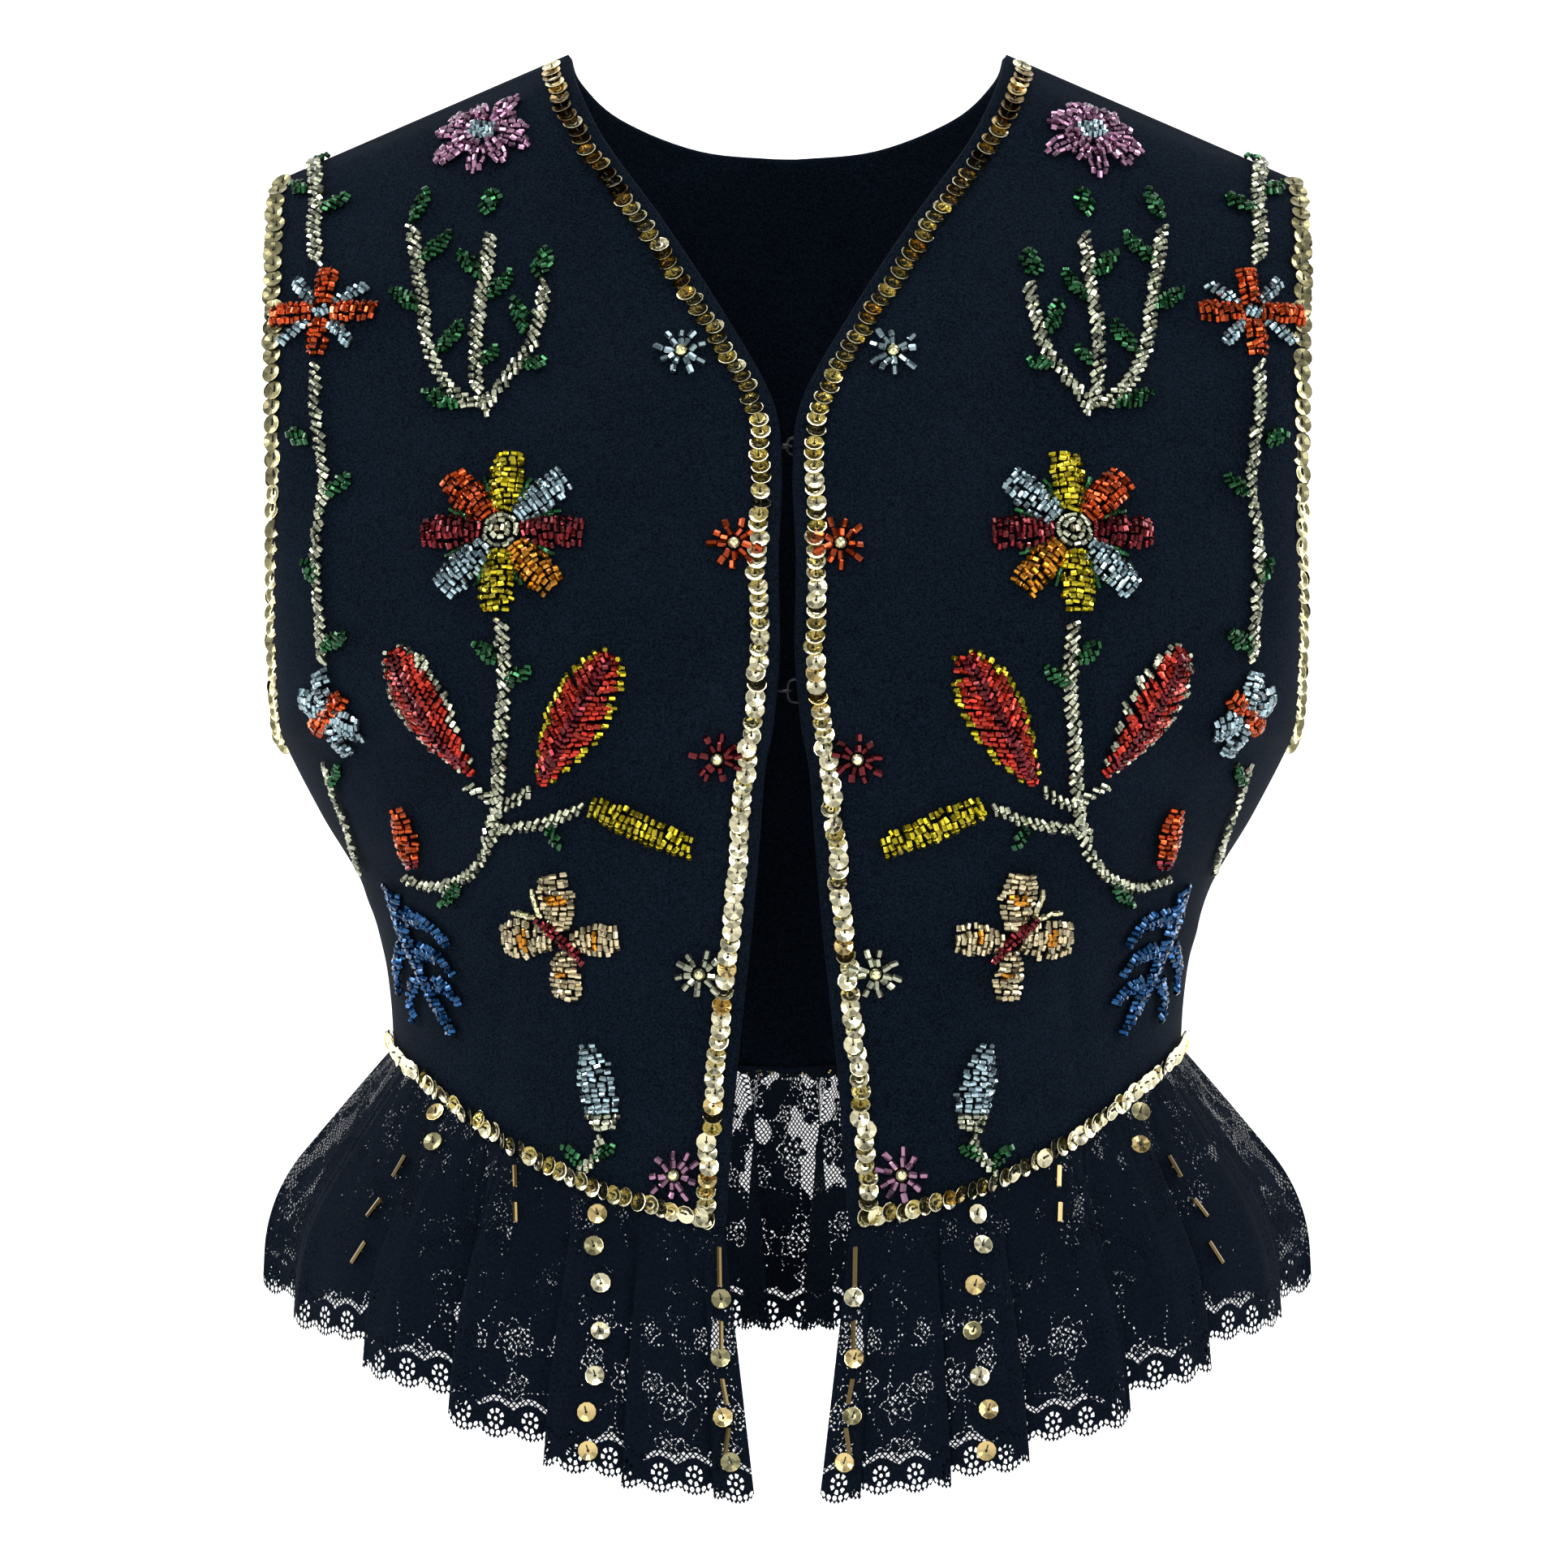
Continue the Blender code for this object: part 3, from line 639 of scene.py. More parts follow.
def ruffle(sections, folds, flares, seed):
    """Points of a half ruffle's sheet, from the hem down, their places on the flat cut in metres,
    and how open its lace is there: 0 on a fold's crest, 1 in the valley between two folds, 1.5 at
    the body's side, and as low as -1.1 near the front edge, where the work is close."""
    cloth = bpy.context.scene.vest_cloth
    rng = np.random.default_rng(seed)
    phase = np.linspace(0, len(folds), len(folds) * LACE_COLUMNS + 1)
    ends = np.concatenate(((0,), np.cumsum([fold[0] for fold in folds])))
    share = np.interp(phase, np.arange(len(ends)), ends / ends[-1])
    depth = np.interp(phase, np.arange(len(folds)) + 0.5, [fold[1] for fold in folds])
    widths = [fold[0] * rng.uniform(0.65, 1.25) for fold in folds]
    width = np.interp(phase, np.arange(len(folds)) + 0.5, widths)
    top = hem_line(sections, share, cloth.crepe_thickness)
    top[:, 2] -= SEAM_GAP + cloth.lace_thickness / 2
    along = np.gradient(top, axis=0)
    outward = np.stack((along[:, 1], -along[:, 0], np.zeros(len(along))), axis=1)
    outward *= np.sign(np.sum(outward * top, axis=1, keepdims=True))
    outward = unit(outward)
    outward[-1] = (1, 0, 0)
    if sections is BACK:
        outward[0] = (0, 1, 0)
    flare = np.radians(flares[0] + (flares[1] - flares[0]) * share ** FLARE_POWER)[:, None]
    turn = 2 * np.pi * phase
    crest = np.cos(turn - CREST_WIDTH * np.sin(turn))
    lean = np.zeros_like(share)
    if sections is FRONT:
        lean = EDGE_LEAN * np.clip(1 - share / EDGE_LEAN_REACH, 0, 1) ** 2
    inside = inside_edges(share, 1 / 20)
    gathers = sum(
        rng.uniform(0.25, 0.55) * np.sin(share * 2 * np.pi * waves + rng.uniform(0, 6.28))
        for waves in GATHER_WAVES) * inside
    wander = sum(
        rng.uniform(0.4, 0.9) * np.sin(share * 2 * np.pi * waves + rng.uniform(0, 6.28))
        for waves in WANDER_WAVES) * inside
    rows, hang = [], top.copy()
    level = unit(along * (1, 1, 0))
    pleat = PLEAT_REACH * width * run_lengths(top)[-1] / ends[-1] * crest
    for step in range(LACE_ROWS + 1):
        fall = step / LACE_ROWS
        reach = (GATHER + (depth - GATHER) * fall ** FOLD_OPENING) / 2
        small = GATHER_HEIGHT * gathers * fall ** 0.4 * math.exp(-3.2 * fall)
        small = small + WANDER_HEIGHT * wander * fall ** 1.2
        row = hang + outward * (crest * reach + small)[:, None]
        aside = (FOLD_ROUNDING * np.sin(turn) + pleat) * inside * fall ** 0.65
        row = row + level * aside[:, None]
        row[:, 0] -= lean * fall
        rows.append(row)
        hanging = part_way((step + 0.5) / LACE_ROWS, *FLARE_FALL)
        angle = flare * FLARE_FULL * (1 - hanging)
        fallen = outward * np.sin(angle) - np.array((0, 0, 1)) * np.cos(angle)
        hang = hang + fallen * PEPLUM_DROP / LACE_ROWS
    rows = np.array(rows)
    rows[:, -1, 1] = SEAM_CLOSED * (-1 if sections is FRONT else 1)
    if sections is BACK:
        rows[:, 0, 0] = 0
    flat_u = run_lengths(rows[-1])
    scallops = max(1, round(flat_u[-1] / cloth.scallop_width))
    flat_u *= scallops * cloth.scallop_width / flat_u[-1]
    bow = np.abs(np.sin(np.pi * flat_u / cloth.scallop_width)) ** 0.7 * cloth.scallop_depth
    fall = np.linspace(0, 1, LACE_ROWS + 1)[:, None]
    low = part_way(fall, SCALLOPS_FROM, 1)
    down = unit(rows[-1] - rows[-2]) * bow[:, None]
    rows = rows + down[None] * (low ** 1.5)[..., None]
    flat_v = fall * PEPLUM_DROP + bow * low
    flat_u = np.broadcast_to(flat_u, flat_v.shape)
    edge = (1 - fall) * PEPLUM_DROP + 0 * flat_u
    valley = (1 - crest) / 2
    valley = valley + (SIDE_OPENNESS - valley) * part_way(share, 0.74, 0.94)
    if sections is FRONT:
        valley = valley - FRONT_CLOSENESS * part_way(share, 0.42, 0.12)
    valley = np.broadcast_to(valley, flat_v.shape)
    return rows, np.stack((flat_u, flat_v, edge), axis=2), valley


def lace_material():
    """Raschel lace in black: clear diamond net, dense flowers and leaves outlined by small holes,
    and a corded scalloped edge with eyelets. The flowers are a plain repeat of our own."""
    scallop = bpy.context.scene.vest_cloth.scallop_width
    material, tree, shader = new_material(
        "Black nylon lace, warp-knitted", Roughness=0.8, Specular_IOR_Level=0.02)
    place = add_node(tree, "ShaderNodeAttribute", {"attribute_name": "flat"}).outputs["Vector"]
    parts = add_node(tree, "ShaderNodeSeparateXYZ", Vector=place)
    across, edge = Number(tree, parts.outputs["X"]), Number(tree, parts.outputs["Z"])
    flat = add_node(tree, "ShaderNodeCombineXYZ", X=across, Y=parts.outputs["Y"]).outputs["Vector"]

    from_middle = {"voronoi_dimensions": "2D", "feature": "F1"}
    from_border = {"voronoi_dimensions": "2D", "feature": "DISTANCE_TO_EDGE"}

    # Net cells are 1.2 mm. They are drawn at 1.45 mm so that the render shows them, and the
    # finest threads inside a cell are a haze.
    turned = add_node(tree, "ShaderNodeMapping", Vector=flat, Rotation=(0, 0, math.radians(45)))
    net = add_node(tree, "ShaderNodeTexVoronoi", from_border, Vector=turned.outputs["Vector"],
                   Scale=1 / 0.00145, Randomness=0.25)
    net = (Number(tree, net.outputs["Distance"]) < 0.165).larger(0.52)
    # Small holes, 1.9 mm apart, that draw the outlines inside the dense work
    dots = add_node(tree, "ShaderNodeTexVoronoi", from_middle, Vector=flat, Scale=1 / 0.0019,
                    Randomness=0.25)
    dots = Number(tree, dots.outputs["Distance"]) < 0.24
    ripple = add_node(tree, "ShaderNodeTexNoise", {"noise_dimensions": "2D"}, Vector=flat,
                      Scale=330.0, Detail=1.0).outputs["Color"]
    ripple = add_node(tree, "ShaderNodeVectorMath", {"operation": "MULTIPLY_ADD"}, _0=ripple,
                      _1=(0.0022, 0.0022, 0), _2=(-0.0011, -0.0011, 0)).outputs[0]
    warped = add_node(tree, "ShaderNodeVectorMath", _0=flat, _1=ripple).outputs[0]
    # Leaves and bands of close work, 10 to 25 mm across. They are gathered so that most of the
    # open net falls in the valleys, towards the sides, and under the hem.
    fronds = add_node(tree, "ShaderNodeTexNoise", {"noise_dimensions": "2D"}, Vector=warped,
                      Scale=62.0, Detail=0.5, Roughness=0.5)
    valley = add_node(tree, "ShaderNodeAttribute", {"attribute_name": "valley"}).outputs["Fac"]
    valley = Number(tree, valley)
    open_share = (valley * 0.33 - 0.18).larger(0.0) + valley.smaller(0.0) * 0.11 + 0.305
    # Heights above the lace's edge, and how much more open the work is at them
    for low, high, at_low, at_high in ((0.035, 0.075, 0.0, 0.15), (0.009, 0.014, 0.06, 0.0),
                                       (0.020, 0.060, -0.10, 0.0)):
        more = add_node(tree, "ShaderNodeMapRange", Value=edge, From_Min=low, From_Max=high,
                        To_Min=at_low, To_Max=at_high)
        open_share = open_share + more.outputs["Result"]
    fronds = Number(tree, fronds.outputs["Fac"]) - open_share
    outline = abs(fronds - 0.045) < 0.008
    veins = add_node(tree, "ShaderNodeTexVoronoi", from_border, Vector=warped,
                     Scale=1 / 0.0150, Randomness=1.0)
    outline = outline.larger(Number(tree, veins.outputs["Distance"]) < 0.024) * 0.7
    fronds = (fronds > 0.0) * (1.0 - outline * dots)
    # Flowers 13 mm and 8 mm across, each with a ring of holes round its eye and net round it
    solid = fronds
    for index, (cell, petals, radius) in enumerate(((0.0260, 6, 0.0068), (0.0190, 5, 0.0043))):
        shifted = add_node(tree, "ShaderNodeVectorMath", _0=warped,
                           _1=(0.0031 * index, 0.0052 * index, 0)).outputs[0]
        spread = add_node(tree, "ShaderNodeTexVoronoi", from_middle, Vector=shifted,
                          Scale=1 / cell, Randomness=0.6)
        local = add_node(tree, "ShaderNodeVectorMath", {"operation": "SUBTRACT"}, _0=shifted,
                         _1=spread.outputs["Position"]).outputs[0]
        arms = add_node(tree, "ShaderNodeSeparateXYZ", Vector=local)
        away = add_node(tree, "ShaderNodeVectorMath", {"operation": "LENGTH"}, _0=local)
        away = Number(tree, away.outputs["Value"])
        angle = Number(tree, arms.outputs["Y"]).to("ARCTAN2", arms.outputs["X"])
        twist = add_node(tree, "ShaderNodeSeparateColor", Color=spread.outputs["Color"])
        angle = Number(tree, twist.outputs[0]) * 6.0 + angle
        lobes = (angle * float(petals)).to("COSINE")
        rim = lobes * (radius * 0.20) + radius * 0.80
        holes = (abs(away - radius * 0.40) < radius * 0.12) * (lobes > -0.1)
        holes = holes.larger(away < radius * 0.10)
        flower = (away < rim) * (1.0 - holes)
        solid = (solid * (1.0 - (away < rim + 0.0005))).larger(flower)
    # The edge: close work with a row of small holes, and a ring of holes in each scallop
    aside = ((across / scallop).to("FRACT") - 0.5) * scallop
    up = edge - 0.0052
    away = (aside * aside + up * up).to("SQRT")
    around = (up.to("ARCTAN2", aside) * 7.0).to("COSINE")
    eyelet = (abs(away - 0.0022) < 0.00058) * (around > -0.15)
    eyelet = eyelet.larger(away < 0.00055)
    aside = ((across / (scallop / 6)).to("FRACT") - 0.5) * (scallop / 6)
    up = edge - 0.0015
    small = aside * aside + up * up < 0.00068 ** 2
    top = abs((across * (math.pi / scallop)).to("SINE")) * 0.0030 + 0.0070
    band = edge < top
    trim = band * (1.0 - eyelet.larger(small) * 0.78)
    solid = (solid * (1.0 - (edge < top + 0.0016))).larger(net) * (1.0 - band) + trim
    picots = (across * (2 * math.pi / 0.0013)).to("SINE")
    solid = solid * (edge > picots * 0.00035 + 0.00035)
    tree.links.new(solid.socket, shader.inputs["Alpha"])
    threads = add_node(tree, "ShaderNodeTexNoise", Vector=flat, Scale=900.0, Detail=2.0)
    threads = Number(tree, threads.outputs["Fac"])
    ramp = add_node(tree, "ShaderNodeValToRGB", tones=((0.3, "#060b12"), (0.75, "#0f1722")),
                    Fac=threads)
    tree.links.new(ramp.outputs["Color"], shader.inputs["Base Color"])
    bump = add_node(tree, "ShaderNodeBump", Strength=0.5, Distance=0.0004,
                    Height=threads * 0.5 + fronds)
    tree.links.new(bump.outputs["Normal"], shader.inputs["Normal"])
    return material


SEAM_ALLOWANCE = 0.0026
TURNED_IN, TURNED_UP = 0.0014, 0.0022


def with_seam(rows, flat, valley):
    """A sheet and its seam allowance, which is turned up inside the hem."""
    inside = rows[:1] - unit(rows[:1] * (1, 1, 0)) * TURNED_IN + (0, 0, TURNED_UP)
    allowance = flat[:1] - (0, SEAM_ALLOWANCE, 0)
    return (np.concatenate((inside, rows)), np.concatenate((allowance, flat)),
            np.concatenate((valley[:1], valley)))


def sheet_object(name, rows, flat, valley, material):
    """A sheet on a grid of points. Attributes carry its place on the flat cut and its valleys."""
    made = object_of(name, rows.reshape(-1, 3), grid_faces(*rows.shape[:2]), [material],
                     closed=False)
    mesh = made.data
    place = mesh.attributes.new("flat", "FLOAT_VECTOR", "POINT")
    place.data.foreach_set("vector", flat.reshape(-1))
    mesh.attributes.new("valley", "FLOAT", "POINT").data.foreach_set("value", valley.reshape(-1))
    layer = mesh.uv_layers.new(name="UVMap")
    corners = np.empty(len(mesh.loops), np.int64)
    mesh.loops.foreach_get("vertex_index", corners)
    layer.data.foreach_set("uv", (flat.reshape(-1, 3)[corners, :2] * 4).reshape(-1))
    return made


class VEST_OT_lace(bpy.types.Operator):
    """Makes the gathered lace peplum"""

    bl_idname = "vest.lace"
    bl_label = "Lace peplum"

    def execute(self, context):
        lace = lace_material()
        for side, sign in SIDES.items():
            rows, flat, valley = ruffle(FRONT, FRONT_FOLDS, FRONT_FLARE, SEED + sign)
            rows = rows * (sign, 1, 1)
            if sign > 0:
                rows, flat, valley = rows[:, ::-1], flat[:, ::-1], valley[:, ::-1]
            made = sheet_object(f"lace_front_{side}", *with_seam(rows, flat, valley), lace)
            hand_over(made, f"peplum_front_{side}", "lace")
            width = float(flat[..., 0].max())
        right, flat_right, valley_right = ruffle(BACK, BACK_FOLDS, BACK_FLARE, SEED + 5)
        left, flat_left, valley_left = ruffle(BACK, BACK_FOLDS, BACK_FLARE, SEED + 6)
        pairs = ((left * (-1, 1, 1), right), (flat_left * (-1, 1, 1), flat_right),
                 (valley_left, valley_right))
        rows, flat, valley = (np.concatenate((one[:, :0:-1], other), axis=1)
                              for one, other in pairs)
        made = sheet_object("lace_back", *with_seam(rows, flat, valley), lace)
        hand_over(made, "peplum_back", "lace")
        width = float(flat[..., 0].max() - flat[..., 0].min())
        return {"FINISHED"}


# What is sewn on

def template(name, points, faces):
    """A hidden mesh of unit size for a tree to repeat."""
    mesh = bpy.data.meshes.new(name)
    mesh.from_pydata(points, [], faces)
    work = bmesh.new()
    work.from_mesh(mesh)
    bmesh.ops.recalc_face_normals(work, faces=work.faces)
    work.to_mesh(mesh)
    work.free()
    return bpy.data.objects.new(name, mesh)


def turned_template(name, sides, profile, closed=True):
    """A lathe-turned form along +Z from (radius, height) pairs, with flat facets."""
    points = []
    for radius, height in profile:
        for k in range(sides):
            angle = 2 * math.pi * (k + 0.5) / sides
            points.append((radius * math.cos(angle), radius * math.sin(angle), height))
    faces = []
    rings = len(profile)
    for ring in range(rings - 1 if closed else rings):
        for k in range(sides):
            a, b = ring * sides + k, ring * sides + (k + 1) % sides
            c, d = (ring + 1) % rings * sides + (k + 1) % sides, (ring + 1) % rings * sides + k
            faces.append((a, b, c, d))
    if closed:
        faces.append(list(reversed(range(sides))))
        faces.append([(rings - 1) * sides + k for k in range(sides)])
    return template(name, points, faces)


def sewing_tree(name, form, materials):
    """A Geometry Nodes tree that puts a form on each point, turned and sized by its attributes, and
    gives each its material by the point's colour number."""
    tree = bpy.data.node_groups.new(name, "GeometryNodeTree")
    tree.is_modifier = True
    face = tree.interface
    face.new_socket("Geometry", in_out="INPUT", socket_type="NodeSocketGeometry")
    length = face.new_socket("Length", in_out="INPUT", socket_type="NodeSocketFloat")
    width = face.new_socket("Width", in_out="INPUT", socket_type="NodeSocketFloat")
    for socket in (length, width):
        socket.subtype = "DISTANCE"
        socket.default_value = 0.002
    face.new_socket("Geometry", in_out="OUTPUT", socket_type="NodeSocketGeometry")
    start = add_node(tree, "NodeGroupInput")
    turn = add_node(tree, "GeometryNodeInputNamedAttribute", {"data_type": "QUATERNION"},
                    Name="turn")
    sized = add_node(tree, "GeometryNodeInputNamedAttribute", {"data_type": "FLOAT_VECTOR"},
                     Name="sized")
    colour = add_node(tree, "GeometryNodeInputNamedAttribute", {"data_type": "INT"}, Name="colour")
    scale = add_node(tree, "ShaderNodeCombineXYZ", X=start.outputs["Width"],
                     Y=start.outputs["Width"], Z=start.outputs["Length"])
    scale = add_node(tree, "ShaderNodeVectorMath", {"operation": "MULTIPLY"},
                     _0=scale.outputs[0], _1=sized.outputs["Attribute"])
    shape = add_node(tree, "GeometryNodeObjectInfo")
    shape.inputs["Object"].default_value = form
    put = add_node(tree, "GeometryNodeInstanceOnPoints", Points=start.outputs["Geometry"],
                   Instance=shape.outputs["Geometry"], Rotation=turn.outputs["Attribute"],
                   Scale=scale.outputs[0])
    made = add_node(tree, "GeometryNodeRealizeInstances", Geometry=put.outputs["Instances"])
    made = made.outputs["Geometry"]
    for index, material in enumerate(materials):
        chosen = add_node(tree, "FunctionNodeCompare", {"data_type": "INT", "operation": "EQUAL"},
                          _2=colour.outputs["Attribute"], _3=index)
        made = add_node(tree, "GeometryNodeSetMaterial", Geometry=made,
                        Selection=chosen.outputs[0], Material=material).outputs["Geometry"]
    add_node(tree, "NodeGroupOutput", Geometry=made)
    return tree


def sewn(name, beads, tree, length, width, sign):
    """The beads of one piece as a plain mesh, mirrored where sign is -1."""
    flip = np.array((sign, 1, 1))
    centres = np.array([bead.centre for bead in beads]) * flip
    along = unit(np.array([bead.along for bead in beads])) * flip
    out = np.array([bead.out for bead in beads]) * flip
    out = unit(out - along * np.sum(out * along, axis=1, keepdims=True))
    axes = np.stack((np.cross(out, along), out, along), axis=2)
    cloud = bpy.data.meshes.new(f"{name} points")
    cloud.from_pydata(centres.tolist(), [], [])
    for key, kind, field, values in (
            ("turn", "QUATERNION", "value", [Matrix(turn.tolist()).to_quaternion()[:]
                                             for turn in axes]),
            ("sized", "FLOAT_VECTOR", "vector", [(bead.width, bead.width, bead.length)
                                                 for bead in beads]),
            ("colour", "INT", "value", [bead.colour for bead in beads]),
            ("tint", "FLOAT", "value", [bead.tint for bead in beads])):
        attribute = cloud.attributes.new(key, kind, "POINT")
        attribute.data.foreach_set(field, np.array(values).reshape(-1))
    points = bpy.data.objects.new(f"{name}_points", cloud)
    bpy.context.scene.collection.objects.link(points)
    modifier = points.modifiers.new("Sewing", "NODES")
    modifier.node_group = tree
    sizes = {"Length": length, "Width": width}
    for item in tree.interface.items_tree:
        if item.item_type == "SOCKET" and item.in_out == "INPUT" and item.name in sizes:
            modifier[item.identifier] = sizes[item.name]
    shown = bpy.context.evaluated_depsgraph_get()
    mesh = bpy.data.meshes.new_from_object(points.evaluated_get(shown), depsgraph=shown)
    bpy.data.objects.remove(points)
    mesh.name = name
    keep_used_materials(mesh)
    for attribute in ("turn", "sized", "colour"):
        if attribute in mesh.attributes:
            mesh.attributes.remove(mesh.attributes[attribute])
    made = bpy.data.objects.new(name, mesh)
    bpy.context.scene.collection.objects.link(made)
    return made


def keep_used_materials(mesh):
    """Drops the material slots that no face uses."""
    index = np.zeros(len(mesh.polygons), np.int32)
    mesh.polygons.foreach_get("material_index", index)
    used = np.unique(index)
    kept = [mesh.materials[int(k)] for k in used]
    order = np.zeros(int(index.max()) + 1, np.int32)
    order[used] = np.arange(len(used))
    mesh.materials.clear()
    for material in kept:
        mesh.materials.append(material)
    mesh.polygons.foreach_set("material_index", order[index])
    mesh.update()


def tinted_colour(tree, code, dark, light):
    """A colour that the tint attribute takes from darker to lighter, piece by piece."""
    tint = add_node(tree, "ShaderNodeAttribute", {"attribute_name": "tint"}).outputs["Fac"]
    base = linear(code)[:3]
    darker = (*(min(1, c * dark) for c in base), 1)
    lighter = (*(min(1, c * light + 0.03 * (light - 1)) for c in base), 1)
    return add_node(tree, "ShaderNodeValToRGB", tones=((0, darker), (1, lighter)),
                    Fac=tint).outputs["Color"]


def bead_material(name, code):
    """Silver-lined cut glass: colour with a mirror behind it, with white glints. A facet that faces
    the eye shows its full colour; painted shade in the base colour darkens the facets that turn
    away. Moulded and cut."""
    words = name.replace("_", " ")
    material, tree, shader = new_material(
        f"Silver-lined glass, {words}, cut", Metallic=0.85, Roughness=0.10, Coat_Weight=0.3,
        Coat_Roughness=0.04)
    facing = Number(tree, add_node(tree, "ShaderNodeLayerWeight", Blend=0.5).outputs["Facing"])
    # Painted shade: the base colour darkens as a facet turns away from the eye
    painted_facet_shade = (facing * -1.35 + 1.15).larger(0.14)
    shade = add_node(tree, "ShaderNodeVectorMath", {"operation": "SCALE"},
                     _0=tinted_colour(tree, code, 0.40, 1.30), Scale=painted_facet_shade)
    tree.links.new(shade.outputs[0], shader.inputs["Base Color"])
    return material


LIGHT_GOLD, AMBER, BRONZE, THREAD, DULL_GOLD = range(5)     # places in the list of sequin materials


def sequin_materials():
    """Cup sequins: metallised film with a lacquer, pressed, which mirrors in small dishes. The
    dull gold has lost its lacquer. The thread that holds them is matt."""
    made = []
    for name, code, dark, light, roughness, lacquer in (
            ("light gold", "#ece4bc", 0.82, 1.05, 0.15, 0.3),
            ("amber", "#dcc283", 0.82, 1.05, 0.15, 0.3),
            ("bronze", "#806c42", 0.82, 1.05, 0.15, 0.3),
            ("dull gold", "#9a946e", 0.70, 1.15, 0.22, 0.0)):
        material, tree, shader = new_material(
            f"Metallised sequin film, {name}, pressed", Metallic=1.0, Roughness=roughness,
            Coat_Weight=lacquer, Coat_Roughness=0.05)
        tree.links.new(tinted_colour(tree, code, dark, light), shader.inputs["Base Color"])
        made.append(material)
    thread, tree, shader = new_material("Black polyester thread, twisted", Roughness=0.7)
    place = add_node(tree, "ShaderNodeTexCoord").outputs["Object"]
    twist = add_node(tree, "ShaderNodeTexNoise", Vector=place, Scale=2500.0)
    ramp = add_node(tree, "ShaderNodeValToRGB", tones=((0, "#0a0b10"), (1, "#262833")),
                    Fac=twist.outputs["Fac"])
    tree.links.new(ramp.outputs["Color"], shader.inputs["Base Color"])
    made.insert(THREAD, thread)
    return made


def nearest(surface, point):
    """The closest point of a surface and its outward normal, as arrays."""
    hit, facing, _, _ = surface.tree.find_nearest(Vector(point))
    facing = np.array(facing)
    hit = np.array(hit)
    outward = hit - CHEST_MIDDLE
    return hit, facing if facing @ outward > 0 else -facing


def seen_at(surface, x, z):
    """Where a line from the front at x and z meets a surface, and its outward normal."""
    for lower in range(60):
        start = Vector((x, -1, z - lower * 0.0004))
        hit, _, _, _ = surface.tree.ray_cast(start, Vector((0, 1, 0)))
        if hit is not None:
            return nearest(surface, hit)
    return nearest(surface, (x, -0.06, z))


def smooth_path(points, spacing=0.0005):
    """A curve through points, as closely spaced points."""
    points = np.array(points, float)[:, None, :]
    steps = np.linspace(0, len(points) - 1, 40 * len(points))
    line = through(points, steps)[:, 0]
    runs = run_lengths(line)
    return along_path(line, runs, np.linspace(0, runs[-1], max(4, int(runs[-1] / spacing))))


